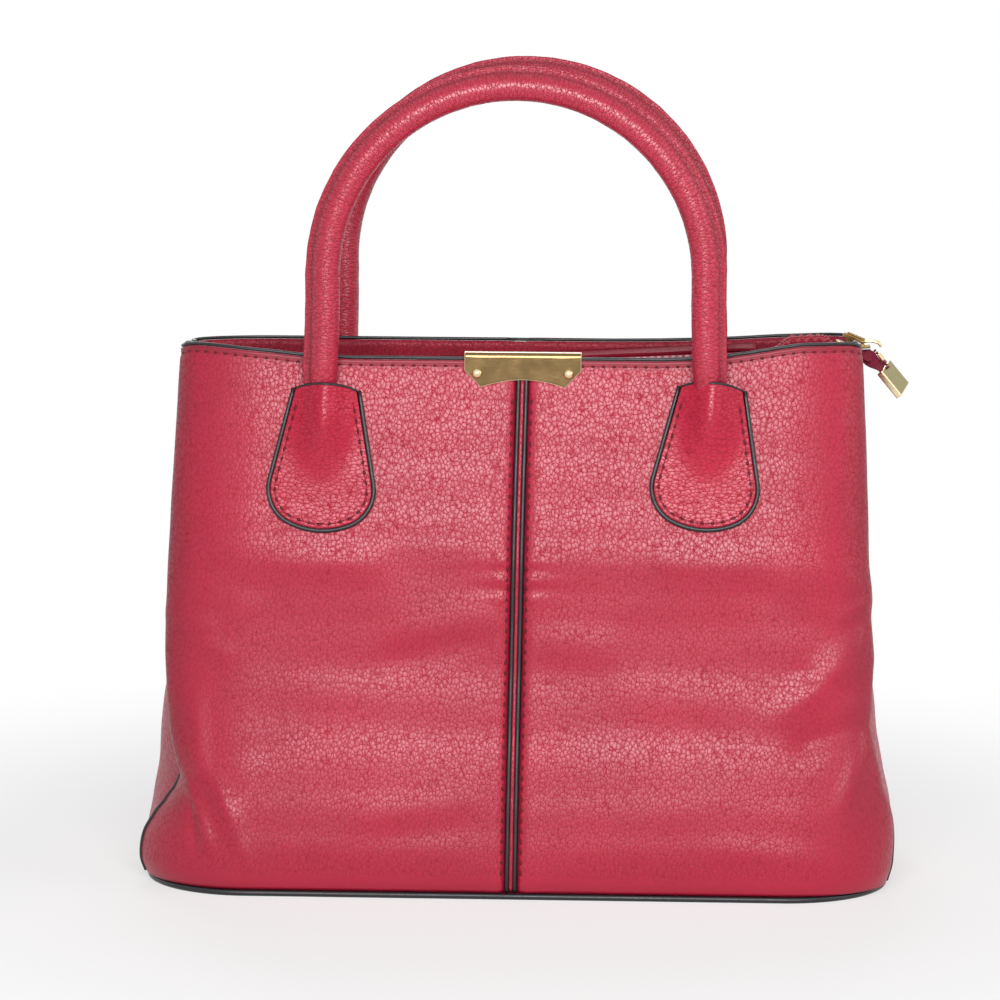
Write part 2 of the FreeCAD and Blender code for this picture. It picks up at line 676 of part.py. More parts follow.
for side, degrees in SIDES:
    for sign in (-1, 1):
        place = side + "_" + hand(side, sign)
        seat = on_front(sign * size("Places.tab_spacing"), size("Places.tab_top_height"), soft_gap)
        seat = turned(degrees, seat)
        tab(place + "_tab", seat)
        tab_piping(place + "_tab_piping", seat)
        end = end_cone(place + "_handle_end", "0", "0", "Sizes.end_rise")
        keep(end, place + "_handle_end", seat.multiply(end.Placement))


# Handles: rolled leather with a stitched outer fin over a cord core
LEG_LENGTH = "Places.handle_arch_height - Places.handle_hinge_height"


def handle_rod(name, radius, leg_foot):
    """Arch and two straight legs; the legs start leg_foot below the fold."""
    centre = at(0, 0, size("Places.handle_arch_height"), X_AXIS, QUARTER_TURN)
    arch = primitive("Torus", name + "_arch", centre, Radius1="Places.tab_spacing", Radius2=radius)
    arch.Angle3 = HALF_TURN
    foot = size("Places.handle_hinge_height - (%s)" % leg_foot)
    legs = [primitive("Cylinder", name + "_leg", at(sign * size("Places.tab_spacing"), 0, foot),
                      Radius=radius, Height="%s + %s" % (LEG_LENGTH, leg_foot)) for sign in (-1, 1)]
    return [arch] + legs


def handle_fin(name):
    outer = "Places.tab_spacing + Sizes.handle_tube_radius + Sizes.fin_height"
    half = size("Sizes.fin_thickness / 2")
    crown = at(0, half, size("Places.handle_arch_height"), X_AXIS, QUARTER_TURN)
    disc = primitive("Cylinder", name + "_disc", crown, Radius=outer, Height="Sizes.fin_thickness")
    disc.Angle = HALF_TURN
    middle = primitive("Cylinder", name + "_middle", crown, Radius="Places.tab_spacing",
                       Height="Sizes.fin_thickness")
    pieces = [cut(name + "_ring", disc, middle)]
    reach = "Sizes.handle_tube_radius + Sizes.fin_height"
    low_z = size("Places.handle_hinge_height + Sizes.handle_tube_radius")
    for sign in (-1, 1):
        low_x = min(sign * size("Places.tab_spacing"), sign * size(outer))
        pieces.append(primitive("Box", name + "_side", at(low_x, -half, low_z),
                                Length=reach, Width="Sizes.fin_thickness",
                                Height="%s - Sizes.handle_tube_radius" % LEG_LENGTH))
    return pieces


def leg_balls(name, radius, drop):
    """Round leg ends on or below the fold, so that a leg turns in place."""
    height = size("Places.handle_hinge_height - (%s)" % drop)
    return [primitive("Sphere", name, at(sign * size("Places.tab_spacing"), 0, height), Radius=radius)
            for sign in (-1, 1)]


def handle(side, degrees):
    plane = turned(degrees, at(0, -size("Places.handle_plane"), 0))
    tube_radius = "Sizes.handle_tube_radius"
    roll = handle_rod(side + "_roll", tube_radius, "0")
    roll += leg_balls(side + "_knuckle", tube_radius, "0")
    roll += handle_fin(side + "_fin")
    hollow = handle_rod(side + "_hollow", "Sizes.handle_core_radius + Sizes.handle_core_gap", tube_radius)
    cover = cut(side + "_cover", joined(side + "_skin", roll), joined(side + "_bore", hollow))
    keep(cover, side + "_handle_cover", plane)
    drop = "Sizes.handle_tube_radius - Sizes.handle_core_radius"
    core = handle_rod(side + "_cord", "Sizes.handle_core_radius", drop)
    keep(joined(side + "_core", core + leg_balls(side + "_tip", "Sizes.handle_core_radius", drop)),
         side + "_handle_core", plane)


for side, degrees in SIDES:
    handle(side, degrees)


# Top plate: sheet metal folded over the middle of the front edge, with two dome rivets
PLATE_PROUD = PIPING_PROUD + " + Sizes.soft_gap"
PLATE_TOP = "Sizes.top_piping_diameter + Sizes.plate_head_gap"
PLATE_BACK = "Sizes.leather + Sizes.seam_gap + Sizes.facing_thickness + Sizes.soft_gap"


def top_plate():
    face = on_front(0, panel_top)
    top = "(%s)" % PLATE_TOP
    low = "(%s - Sizes.plate_height)" % top
    chamfered = "(%s + Sizes.plate_chamfer)" % low
    side = "Sizes.plate_half_width"
    corner = "(Sizes.plate_half_width - Sizes.plate_chamfer)"
    leaf = doc.addObject("PartDesign::Body", "plate_leaf")
    pad(leaf, polygon_sketch(leaf, "plate_outline", "XY_Plane",
                             [("-" + side, top), ("-" + side, chamfered), ("-" + corner, low),
                              (corner, low), (side, chamfered), (side, top)]), "Sizes.plate_thickness")
    front = size(PLATE_PROUD)
    leaf.Placement = at(0, 0, front)
    depth = "%s + %s + 2 * Sizes.plate_thickness" % (PLATE_PROUD, PLATE_BACK)
    behind = -size(PLATE_BACK + " + Sizes.plate_thickness")
    fold = primitive("Box", "plate_fold", at(-size(side), size(top), behind), Length="2 * " + side,
                     Width="Sizes.plate_thickness", Height=depth)
    inner = primitive("Box", "plate_inner", at(-size(side), size(top + " - Sizes.plate_lip"), behind),
                      Length="2 * " + side, Width="Sizes.plate_lip", Height="Sizes.plate_thickness")
    arch_y = size("%s + Sizes.plate_arch_rise - Sizes.plate_arch_radius" % low)
    hollow = [primitive("Cylinder", "plate_arch", at(0, arch_y, front), Radius="Sizes.plate_arch_radius",
                        Height="Sizes.overrun")]
    rivet_x = size("Sizes.plate_half_width - Sizes.rivet_inset")
    rivet_y = size("%s - Sizes.rivet_drop" % top)
    for sign in (-1, 1):
        hollow.append(primitive("Cylinder", "plate_hole", at(sign * rivet_x, rivet_y, front),
                                Radius="Sizes.rivet_shank_radius + Sizes.handle_core_gap",
                                Height="Sizes.overrun"))
        dome = primitive("Sphere", "rivet_dome", at(0, 0, size("Sizes.plate_thickness")),
                         Radius="Sizes.rivet_radius")
        dome.Angle1 = 0
        shank = primitive("Cylinder", "rivet_shank", Radius="Sizes.rivet_shank_radius",
                          Height="Sizes.plate_thickness")
        rivet = joined("rivet", [dome, shank])
        keep(rivet, "plate_%s_rivet" % hand("front", sign), in_frame(face, sign * rivet_x, rivet_y, front))
    folded = joined("plate_sheet", [leaf, fold, inner])
    keep(cut("plate", folded, joined("plate_cuts", hollow)), "top_plate", face)


top_plate()


# Zip: two hinged zip panels with tape and teeth, a fixed right end, slider, loop and tail.
# The zip line is straight and falls to the left; its frame has x along the line, at the slider.
ZIP = at(size("Places.zip_end_x"), 0, size("Places.zip_end_height"), Y_AXIS, -size("Sizes.zip_slope"))
FLAP_RISE = "Sizes.tape_thickness / 2 + Sizes.tape_gap + Sizes.facing_thickness / 2"
TOOTH_TIP = "Sizes.tooth_row_gap / 2"
TAPE_EDGE = TOOTH_TIP + " + Sizes.tooth_length + Sizes.tape_gap"


def tooth_row(first_x, length, low_y, middle_z):
    """Separate teeth spread along x, each a small block."""
    pitch = size("Sizes.tooth_pitch")
    block = [size("Sizes." + alias) for alias in ("tooth_width", "tooth_length", "tooth_height")]
    count = int(length / pitch)
    margin = (length - count * pitch) / 2 + (pitch - block[0]) / 2
    return [Part.makeBox(*block, Vector(first_x + margin + number * pitch, low_y, middle_z - block[2] / 2))
            for number in range(count)]


def zip_flap(side, degrees):
    hinge = in_frame(ZIP, -size("Places.zip_end_x"), 0, size(FLAP_RISE), Z_AXIS, degrees)
    hinge = in_frame(hinge, 0, -size("Places.flap_hinge_y"), 0)
    half_length = size("Places.flap_half_length")
    half_leather = size("Sizes.facing_thickness / 2")
    sheet_box = primitive("Box", side + "_flap_sheet", at(-half_length, 0, -half_leather),
                          Length="2 * Places.flap_half_length", Width="Sizes.flap_width",
                          Height="Sizes.facing_thickness")
    bead = primitive("Cylinder", side + "_flap_bead", at(-half_length, 0, 0, Y_AXIS, QUARTER_TURN),
                     Radius="Sizes.facing_thickness / 2", Height="2 * Places.flap_half_length")
    keep(joined(side + "_flap", [sheet_box, bead]), side + "_zip_panel", hinge)
    tape_start = size("Sizes.flap_width - Sizes.tape_overlap")
    tape = primitive("Box", side + "_tape", Length="2 * Places.flap_half_length",
                     Width="Places.flap_hinge_y - (%s) - Sizes.flap_width + Sizes.tape_overlap" % TAPE_EDGE,
                     Height="Sizes.tape_thickness")
    keep(tape, side + "_zip_tape",
         in_frame(hinge, -half_length, tape_start, -size(FLAP_RISE + " + Sizes.tape_thickness / 2")))
    row_y = size("Places.flap_hinge_y - (%s) - Sizes.tooth_length" % TOOTH_TIP)
    teeth = tooth_row(-half_length, 2 * half_length, row_y, -size(FLAP_RISE))
    solid_feature(side + "_zip_teeth", Part.makeCompound(teeth), hinge)


def zip_end():
    """Fixed right end: two short tapes with their teeth, from the zip panels to the tail."""
    gap = size("Sizes.soft_gap")
    start = gap - size("Sizes.flap_end_inset")
    finish = "(Sizes.tail_reach - Sizes.tape_thickness / 2 - Sizes.soft_gap)"
    length = "%s + Sizes.flap_end_inset - Sizes.soft_gap" % finish
    width = "Sizes.end_tape_half_width - (%s)" % TAPE_EDGE
    low_z = -size("Sizes.tape_thickness / 2")
    tapes = [primitive("Box", "end_tape", at(start, low_y, low_z), Length=length, Width=width,
                       Height="Sizes.tape_thickness")
             for low_y in (size(TAPE_EDGE), -size("Sizes.end_tape_half_width"))]
    pair = doc.addObject("Part::Compound", "end_tapes")
    pair.Links = tapes
    keep(pair, "zip_end_tapes", ZIP)
    teeth = []
    for low_y in (size(TOOTH_TIP), -size(TOOTH_TIP + " + Sizes.tooth_length")):
        teeth += tooth_row(start, size(length), low_y, 0)
    solid_feature("zip_end_teeth", Part.makeCompound(teeth), ZIP)


PLATE_LIFT = "Sizes.tooth_height / 2 + Sizes.slider_gap"
CROWN_X = "Sizes.slider_length / 2 - Sizes.crown_length / 2"
LOOP_HEIGHT = PLATE_LIFT + " + Sizes.slider_plate + Sizes.loop_height"


def slider():
    """Two plates joined by a post at the nose, with a crown on top for the loop."""
    half = "Sizes.slider_length / 2"
    wide = "Sizes.slider_half_width"
    nose = "Sizes.slider_nose_half_width"
    shoulder = "(Sizes.slider_post_length - %s)" % half
    outline = [("-" + half, "-" + nose), (shoulder, "-" + wide), (half, "-" + wide), (half, wide),
               (shoulder, wide), ("-" + half, nose)]
    pieces = []
    under = -size(PLATE_LIFT + " + Sizes.slider_plate")
    for name, low in (("slider_top", size(PLATE_LIFT)), ("slider_bottom", under)):
        body = doc.addObject("PartDesign::Body", name)
        pad(body, polygon_sketch(body, name + "_outline", "XY_Plane", outline), "Sizes.slider_plate")
        body.Placement = at(0, 0, low)
        pieces.append(body)
    pieces.append(primitive("Box", "slider_post",
                            at(-size(half), -size("Sizes.slider_post_width / 2"), -size(PLATE_LIFT)),
                            Length="Sizes.slider_post_length", Width="Sizes.slider_post_width",
                            Height="2 * (%s)" % PLATE_LIFT))
    crown_z = size(PLATE_LIFT + " + Sizes.slider_plate")
    crown_x = size(CROWN_X)
    pieces.append(primitive("Box", "slider_crown", at(crown_x - size("Sizes.crown_length / 2"),
                                                      -size("Sizes.crown_width / 2"), crown_z),
                            Length="Sizes.crown_length", Width="Sizes.crown_width",
                            Height="Sizes.crown_height"))
    across = at(crown_x, size("Sizes.crown_width"), size(LOOP_HEIGHT), X_AXIS, QUARTER_TURN)
    eye = primitive("Cylinder", "slider_eye", across,
                    Radius="Sizes.loop_wire_radius + Sizes.loop_hole_gap", Height="2 * Sizes.crown_width")
    keep(cut("slider", joined("slider_block", pieces), eye), "zip_slider", ZIP)


def pull_loop():
    """Closed wire ring: one short side passes through the crown."""
    ring = wire_ring("pull_loop", "Sizes.loop_length / 2", "Sizes.loop_half_width", "Sizes.loop_bend",
                     "Sizes.loop_wire_radius")
    eye = in_frame(ZIP, size(CROWN_X), 0, size(LOOP_HEIGHT), Y_AXIS, size("Sizes.loop_tilt"))
    keep(ring, "zip_pull_loop", in_frame(eye, size("Sizes.loop_length / 2"), 0, 0))


def zip_tail():
    """Tape tail that hangs off the right corner, with the bottom stop and a metal cap."""
    bend = in_frame(ZIP, size("Sizes.tail_reach"), 0, 0, Y_AXIS, size("Sizes.tail_angle"))
    half = size("Sizes.tape_thickness / 2")
    side = size("Sizes.tail_half_width")
    strip = primitive("Box", "tail_strip", at(0, -side, -half), Length="Sizes.tail_length + Sizes.cap_grip",
                      Width="2 * Sizes.tail_half_width", Height="Sizes.tape_thickness")
    bead = primitive("Cylinder", "tail_bead", at(0, side, 0, X_AXIS, QUARTER_TURN),
                     Radius="Sizes.tape_thickness / 2", Height="2 * Sizes.tail_half_width")
    keep(joined("tail", [strip, bead]), "zip_tail_tape", bend)
    block = primitive("Box", "stop_block", Length="Sizes.stop_length", Width="2 * Sizes.stop_half_width",
                      Height="Sizes.stop_height")
    keep(block, "zip_bottom_stop", in_frame(bend, size("Sizes.stop_offset"), -size("Sizes.stop_half_width"),
                                            size("Sizes.tape_thickness / 2 + Sizes.tape_gap")))
    body = doc.addObject("PartDesign::Body", "cap_block")
    wide = "Sizes.cap_half_width"
    block = pad(body, polygon_sketch(body, "cap_outline", "XY_Plane",
                                     [("0", "-" + wide), ("Sizes.cap_length", "-" + wide),
                                      ("Sizes.cap_length", wide), ("0", wide)]), "Sizes.cap_thickness")
    doc.recompute()
    rounding = body.newObject("PartDesign::Fillet", "cap_edges")
    rounding.Base = (block, ["Edge%d" % number for number in range(1, len(block.Shape.Edges) + 1)])
    bind(rounding, Radius="Sizes.cap_edge_radius")
    body.Placement = at(0, 0, -size("Sizes.cap_thickness / 2"))
    mouth = primitive("Box", "cap_mouth", at(-size("Sizes.overrun"), -side - size("Sizes.soft_gap"),
                                             -half - size("Sizes.tape_gap")),
                      Length="Sizes.cap_grip + Sizes.overrun + Sizes.soft_gap",
                      Width="2 * (Sizes.tail_half_width + Sizes.soft_gap)",
                      Height="Sizes.tape_thickness + 2 * Sizes.tape_gap")
    keep(cut("cap", body, mouth), "zip_end_cap", in_frame(bend, size("Sizes.tail_length"), 0, 0))


for side, degrees in SIDES:
    zip_flap(side, degrees)
zip_end()
slider()
pull_loop()
zip_tail()


# Every object has to be sound before its solid is written
doc.recompute()
failed = [item.Label for item in doc.Objects if "Invalid" in item.State or "Error" in item.State]
failed += [item.Label for item in subparts if item.Shape.isNull() or not item.Shape.isValid()]
if failed:
    raise RuntimeError("not sound: " + ", ".join(failed))

os.makedirs("parts", exist_ok=True)
for item in subparts:
    item.Shape.exportStep("parts/%s.step" % item.Label)
print("%d nodes written" % len(subparts))
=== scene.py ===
import math
from functools import partial

import bmesh
import bpy
from mathutils import Matrix, Vector, noise


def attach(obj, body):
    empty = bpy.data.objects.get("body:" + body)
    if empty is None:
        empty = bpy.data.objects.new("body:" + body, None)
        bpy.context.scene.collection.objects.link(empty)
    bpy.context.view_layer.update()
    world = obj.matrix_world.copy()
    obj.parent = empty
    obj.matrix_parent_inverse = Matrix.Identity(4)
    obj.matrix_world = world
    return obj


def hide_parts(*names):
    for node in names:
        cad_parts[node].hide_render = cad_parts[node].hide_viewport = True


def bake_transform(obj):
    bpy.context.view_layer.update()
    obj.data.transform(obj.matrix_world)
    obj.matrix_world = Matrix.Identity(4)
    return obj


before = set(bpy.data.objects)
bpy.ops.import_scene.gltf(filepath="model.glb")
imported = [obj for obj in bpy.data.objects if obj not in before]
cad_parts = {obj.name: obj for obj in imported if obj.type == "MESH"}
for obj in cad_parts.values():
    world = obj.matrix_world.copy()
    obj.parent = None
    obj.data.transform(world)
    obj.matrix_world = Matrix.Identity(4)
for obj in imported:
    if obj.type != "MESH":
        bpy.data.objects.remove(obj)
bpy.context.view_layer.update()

MM = 0.001
scene = bpy.context.scene


# Camera: the bag is seen from the front, a little above level and a little to the right,
# with a long lens, and the picture leans slightly.
CAMERA_PLACE = Vector((67, -1959, 435.7)) * MM
CAMERA_AIM = Vector((-9, 0, 158.8)) * MM
CAMERA_LENS = 166
CAMERA_SENSOR = 36
CAMERA_LEAN = math.radians(0.32)


def link(name, data):
    """Put an object that holds some data into the scene."""
    item = bpy.data.objects.new(name, data)
    scene.collection.objects.link(item)
    return item


def aimed(place, aim):
    """Matrix of a camera or a lamp that stands at a place and looks at its aim."""
    look = (Vector(aim) - Vector(place)).to_track_quat("-Z", "Y").to_matrix().to_4x4()
    return Matrix.Translation(place) @ look


camera_data = bpy.data.cameras.new("photo_camera")
camera_data.lens = CAMERA_LENS
camera_data.sensor_width = CAMERA_SENSOR
camera_data.clip_end = 20
camera = link("photo_camera", camera_data)
camera.matrix_world = aimed(CAMERA_PLACE, CAMERA_AIM) @ Matrix.Rotation(CAMERA_LEAN, 4, "Z")
scene.camera = camera
scene.view_settings.view_transform = "Standard"


# Studio: a pale floor that fades into a white backdrop, one broad low softbox in front, a weak lamp
# on the right and another behind for the rims. Lengths in metres, powers in watts.
FLOOR_RADIUS = 6
SHADOW_REACH = 0.16
WHITE_REACH = 0.5
WHITE_UNDER_BAG = 0.6
AMBIENT_STRENGTH = 0.15


def linear(hex_colour):
    """Linear RGBA of an sRGB hex colour."""
    channels = [int(hex_colour[start:start + 2], 16) / 255 for start in (1, 3, 5)]
    return tuple(c / 12.92 if c <= 0.04045 else ((c + 0.055) / 1.055) ** 2.4 for c in channels) + (1,)


def node(tree, kind, inputs=(), **settings):
    """Add a node with its settings. Its inputs are named, or listed in their order; an input that is a
    socket is linked, and so is a node, by its first output."""
    item = tree.nodes.new("ShaderNode" + kind)
    for name, value in settings.items():
        setattr(item, name, value)
    for name, value in inputs.items() if isinstance(inputs, dict) else enumerate(inputs):
        if isinstance(value, bpy.types.Node):
            value = value.outputs[0]
        if isinstance(value, bpy.types.NodeSocket):
            tree.links.new(value, item.inputs[name])
        else:
            item.inputs[name].default_value = value
    return item


def emptied(owner):
    """Clear the tree of a material or world; gives the function that adds nodes to it."""
    owner.use_nodes = True
    owner.node_tree.nodes.clear()
    return partial(node, owner.node_tree)


def new_material(name):
    """Empty material, the function that adds its nodes, and its coordinates."""
    material = bpy.data.materials.new(name)
    add = emptied(material)
    return material, add, add("TexCoord").outputs


def seen_ray(add):
    """1 for the rays that show the backdrop: the camera's own, and those off metal or through glass."""
    ray = add("LightPath").outputs
    bounced = add("Math", [ray["Is Glossy Ray"], ray["Is Transmission Ray"]], operation="MAXIMUM")
    return add("Math", [ray["Is Camera Ray"], bounced], operation="MAXIMUM")


def floor_paint():
    """Matt floor paint: shows the bag's shadow near it and fades to the white backdrop."""
    material, add, place = new_material("matt_floor")
    reach = add("VectorMath", [place["Object"]], operation="LENGTH").outputs["Value"]
    fade = add("MapRange", [reach, SHADOW_REACH, WHITE_REACH, WHITE_UNDER_BAG, 1.0],
               interpolation_type="SMOOTHSTEP")
    paint = add("BsdfDiffuse", {"Color": linear("#F8F8F8")})
    white = add("Emission", {"Strength": 1.0})
    shown = add("Math", [fade, seen_ray(add)], operation="MULTIPLY")
    add("OutputMaterial", [add("MixShader", [shown, paint, white])])
    return material


def from_bmesh(name, bm):
    """Object out of a finished bmesh."""
    mesh_data = bpy.data.meshes.new(name)
    bm.to_mesh(mesh_data)
    bm.free()
    return link(name, mesh_data)


floor_bm = bmesh.new()
bmesh.ops.create_circle(floor_bm, cap_ends=True, segments=64, radius=FLOOR_RADIUS)
floor = from_bmesh("floor", floor_bm)
floor.data.materials.append(floor_paint())


def soft_lamp(name, place, aim, width, height, power):
    """Rectangular lamp with soft edges to its shadows."""
    lamp_data = bpy.data.lights.new(name, "AREA")
    lamp_data.shape = "RECTANGLE"
    lamp_data.size = width
    lamp_data.size_y = height
    lamp_data.energy = power
    link(name, lamp_data).matrix_world = aimed(place, aim)


soft_lamp("key_softbox", (0.08, -1.4, 0.715), aim=(0, 0, 0.17), width=1.0, height=0.6, power=20)
soft_lamp("fill_softbox", (1.9, -0.6, 1.0), aim=(0, 0, 0.14), width=1.0, height=1.0, power=7)
soft_lamp("rear_softbox", (-0.3, 2.2, 1.3), aim=(0, 0, 0.16), width=1.5, height=0.9, power=24)

scene.world = bpy.data.worlds.new("studio")
add_air = emptied(scene.world)
ambient = add_air("Background", {"Color": linear("#FFFFFF"), "Strength": AMBIENT_STRENGTH})
backdrop = add_air("Background", {"Color": linear("#FFFFFF"), "Strength": 1.0})
add_air("OutputWorld", [add_air("MixShader", [seen_ray(add_air), ambient, backdrop])])


# Body walls: four panels of soft pebbled cowhide, two in front and two behind, sewn at the centre
# and at the sides. They stand on the base, sag between the seams and fold at the lower corners.
# Lengths from here on are in mm, angles in degrees.
def clamp(value, low=0.0, high=1.0):
    return max(low, min(high, value))


def smoothstep(value):
    value = clamp(value)
    return value * value * (3 - 2 * value)


def rise(value, start, run):
    """0 up to a start, 1 after a run beyond it."""
    return smoothstep((value - start) / run)


def mix(low, high, share):
    return low + (high - low) * share


def bump(off, width):
    """Rounded rise, 1 at its middle and gone at about twice its half width."""
    return math.exp(-(off / width) ** 2)


def smooth_curve(rows):
    """Smooth function through (key, value) rows, level beyond its ends."""
    count = len(rows)
    slopes = []
    for index in range(count):
        before, after = rows[max(index - 1, 0)], rows[min(index + 1, count - 1)]
        slopes.append((after[1] - before[1]) / (after[0] - before[0]))

    def value(key):
        if key <= rows[0][0]:
            return rows[0][1]
        for index in range(count - 1):
            (low, start), (high, end) = rows[index], rows[index + 1]
            if key <= high:
                span = high - low
                t = (key - low) / span
                leaving = (1 + 2 * t) * start + t * (1 - t) * span * slopes[index]
                coming = (3 - 2 * t) * end - (1 - t) * span * slopes[index + 1]
                return (1 - t) ** 2 * leaving + t * t * coming
        return rows[-1][1]
    return value


LEFT, RIGHT = -1, 1
FRONT, BACK = -1, 1
SIDE_NAMES = {FRONT: "front", BACK: "back"}
HAND_NAMES = {LEFT: "left", RIGHT: "right"}
CORNERS = [(side, hand) for side in (FRONT, BACK) for hand in (LEFT, RIGHT)]
WALL_FOOT = 2.9
WALL_TOP = 223.4
SEAM_HALF = 2.7


def corner_name(side, hand, piece):
    return "%s_%s_%s" % (SIDE_NAMES[side], HAND_NAMES[hand], piece)


# The corners at the front left and back right are pinched, the other two flare. Rows are (height, value):
# outmost line of a corner from the middle, and how far the panel turns round it before its seam
PINCHED_SEAM = smooth_curve([(0, 156.5), (9, 159.6), (19, 158.6), (27, 154.5), (34, 149.5), (41, 144.6),
                             (47, 142.0), (54, 143.6), (66, 146), (80, 147.5), (100, 148.6),
                             (125, 148.2), (150, 147.3), (175, 146.2), (200, 145), (226, 143.6)])
FLARED_SEAM = smooth_curve([(0, 156.5), (10, 159.2), (22, 160), (34, 159), (46, 155), (58, 152.2),
                            (70, 149.4), (80, 149.6), (99, 150), (113, 148.6), (125, 149.2),
                            (139, 148), (170, 147), (200, 145.6), (226, 144)])
PINCHED_TURN = smooth_curve([(0, 76), (30, 76), (40, 84), (48, 97), (60, 111), (80, 113), (226, 110)])
FLARED_TURN = smooth_curve([(0, 90), (20, 96), (40, 104), (60, 110), (80, 113), (226, 110)])
SEAM_X = {corner: PINCHED_SEAM if corner[0] == corner[1] else FLARED_SEAM for corner in CORNERS}
CORNER_TURN = {corner: PINCHED_TURN if corner[0] == corner[1] else FLARED_TURN for corner in CORNERS}
SEAM_Y = smooth_curve([(0, 39), (20, 40), (36, 43), (48, 46), (66, 44), (100, 38), (150, 29),
                       (200, 20.5), (226, 16)])
FACE_Y = smooth_curve([(2.6, 71.6), (7, 73.3), (14, 73.3), (28, 71.6), (45, 68.9), (70, 63.8),
                       (95, 59.3), (115, 57.4), (127, 56.8), (137, 56.3), (143, 55.5), (150, 54.1),
                       (165, 51), (185, 47), (205, 43), (218, 40.8), (226, 39.8)])
CORNER_X = smooth_curve([(0, 113), (60, 111), (225, 104)])
CENTRE_X = smooth_curve([(0, -0.9), (110, 0.2), (225, 1.9)])

# How far the top edge is drawn up, by distance from the middle
EDGE_RISE = {
    (FRONT, LEFT): smooth_curve([(70, 0), (88, 0.8), (104, 2.4), (127, 4.3), (139, 4.2), (144, 2.0)]),
    (FRONT, RIGHT): smooth_curve([(60, 0.2), (80, 1.3), (92, 2.9), (101, 4.3), (109, 5.7), (118, 6.9),
                                  (128, 7.0), (139, 6.7), (144, 5.0)]),
    (BACK, LEFT): smooth_curve([(0, 0), (144, 0)]),
    (BACK, RIGHT): smooth_curve([(40, 0), (76, 0.8), (109, 2.6), (137, 4.2), (144, 3.4)])}

# Folds: start across and height, end across and height, half width, height above the wall
FOLDS = {
    FRONT: [
        (-137, 47, -128, 22, 3.2, 1.6), (-131, 52, -116, 30, 5, 0.8), (-134, 80, -132, 50, 4, 1.0),
        (-136, 38, -134, 20, 2.2, -1.2), (-124, 46, -112, 16, 3.5, 0.7), (-126, 58, -100, 62, 6, -0.5),
        (-120, 96, -60, 86, 9, 0.35), (-118, 78, -40, 74, 8, -0.3), (-48, 112, -8, 116, 8, 0.9),
        (-56, 98, -14, 108, 6, -0.6), (-60, 34, -12, 46, 7, 0.35), (-66, 24, -16, 32, 6, -0.3),
        (-100, 141, -62, 140, 7, 0.9), (-136, 139, -104, 128, 8, -0.7), (-52, 138, -12, 134, 9, -0.8),
        (-146, 116, -128, 112, 4, 0.9), (-135, 106, -120, 100, 4, 0.6), (147, 112, 122, 88, 6, 1.7),
        (146, 100, 110, 78, 6, 1.3), (142, 73, 118, 64, 6, -1.9), (141, 86, 120, 96, 4, -1.0),
        (146, 66, 138, 42, 4, 1.2), (147, 124, 136, 118, 3.5, 1.0), (96, 84, 40, 92, 9, 0.4),
        (90, 70, 30, 74, 8, -0.3), (58, 142, 98, 141, 7, 0.9), (20, 128, 60, 136, 10, -0.5),
        (96, 132, 124, 116, 9, -0.6), (84, 24, 130, 18, 6, 0.5), (12, 108, 40, 104, 9, 0.7),
        (60, 40, 100, 46, 9, 0.3), (126, 142, 146, 128, 5, 0.6)],
    BACK: [
        (137, 47, 127, 22, 3.2, 1.4), (-147, 108, -116, 84, 6, 1.3), (-142, 74, -118, 66, 6, -1.4),
        (118, 92, 56, 84, 9, 0.8), (50, 110, 10, 118, 8, 1.0), (-20, 126, -66, 136, 9, -0.8),
        (-90, 44, -30, 36, 8, 0.7), (66, 142, 22, 148, 9, 0.8), (-40, 96, -96, 90, 9, 0.7)]}
FOLD_RUNOUT = 0.35
FOLD_FADE = 0.6


def fold_height(side, across, height):
    """Sum of the folds near a place on the wall, each a rounded ridge that fades at its ends."""
    total = 0.0
    for x0, z0, x1, z1, width, lift in FOLDS[side]:
        run_x, run_z = x1 - x0, z1 - z0
        length = math.hypot(run_x, run_z)
        along = ((across - x0) * run_x + (height - z0) * run_z) / (length * length)
        beside = ((across - x0) * run_z - (height - z0) * run_x) / length
        if -FOLD_RUNOUT < along < 1 + FOLD_RUNOUT and abs(beside) < 3 * width:
            coming = smoothstep((along + FOLD_RUNOUT) / FOLD_FADE)
            going = smoothstep((1 + FOLD_RUNOUT - along) / FOLD_FADE)
            total += lift * coming * going * bump(beside, width)
    return total


# Puckers beside the centre seam: height on the wall, lift
SEAM_PUCKERS = [(125, 0.5), (129, -0.6), (133, 0.6), (137, -0.6), (141, 0.5)]
PUCKER_HALF = 1.5


def pucker_height(off_seam, height):
    """Short creases that the centre seam's thread pulls into the leather."""
    reach = math.exp(-max(off_seam - 3, 0) / 6)
    return reach * sum(lift * bump(height - place, PUCKER_HALF) for place, lift in SEAM_PUCKERS)


BEND_LENGTH = 1.15


def wall_lengths(side, hand, height):
    """Length of a panel's straight run, and of all of it to the side seam, at a height."""
    straight = CORNER_X(height) - SEAM_HALF
    reach = SEAM_X[side, hand](height) - CORNER_X(height)
    return straight, straight + BEND_LENGTH * math.hypot(reach, FACE_Y(height) - SEAM_Y(height))


def edge_rise(side, hand, x, height):
    """How far the wall is drawn up towards a corner of the top edge."""
    return EDGE_RISE[side, hand](x) * rise(height, 165, 55)


PILLOW = 1.4
SEAM_DIP = 0.9
SEAM_PUFF = 0.35
EDGE_GROOVE = 0.55
EDGE_GROOVE_HEIGHT = 221.2
WRINKLE = 0.15
WRINKLE_ACROSS = 0.035
WRINKLE_UP = 0.04


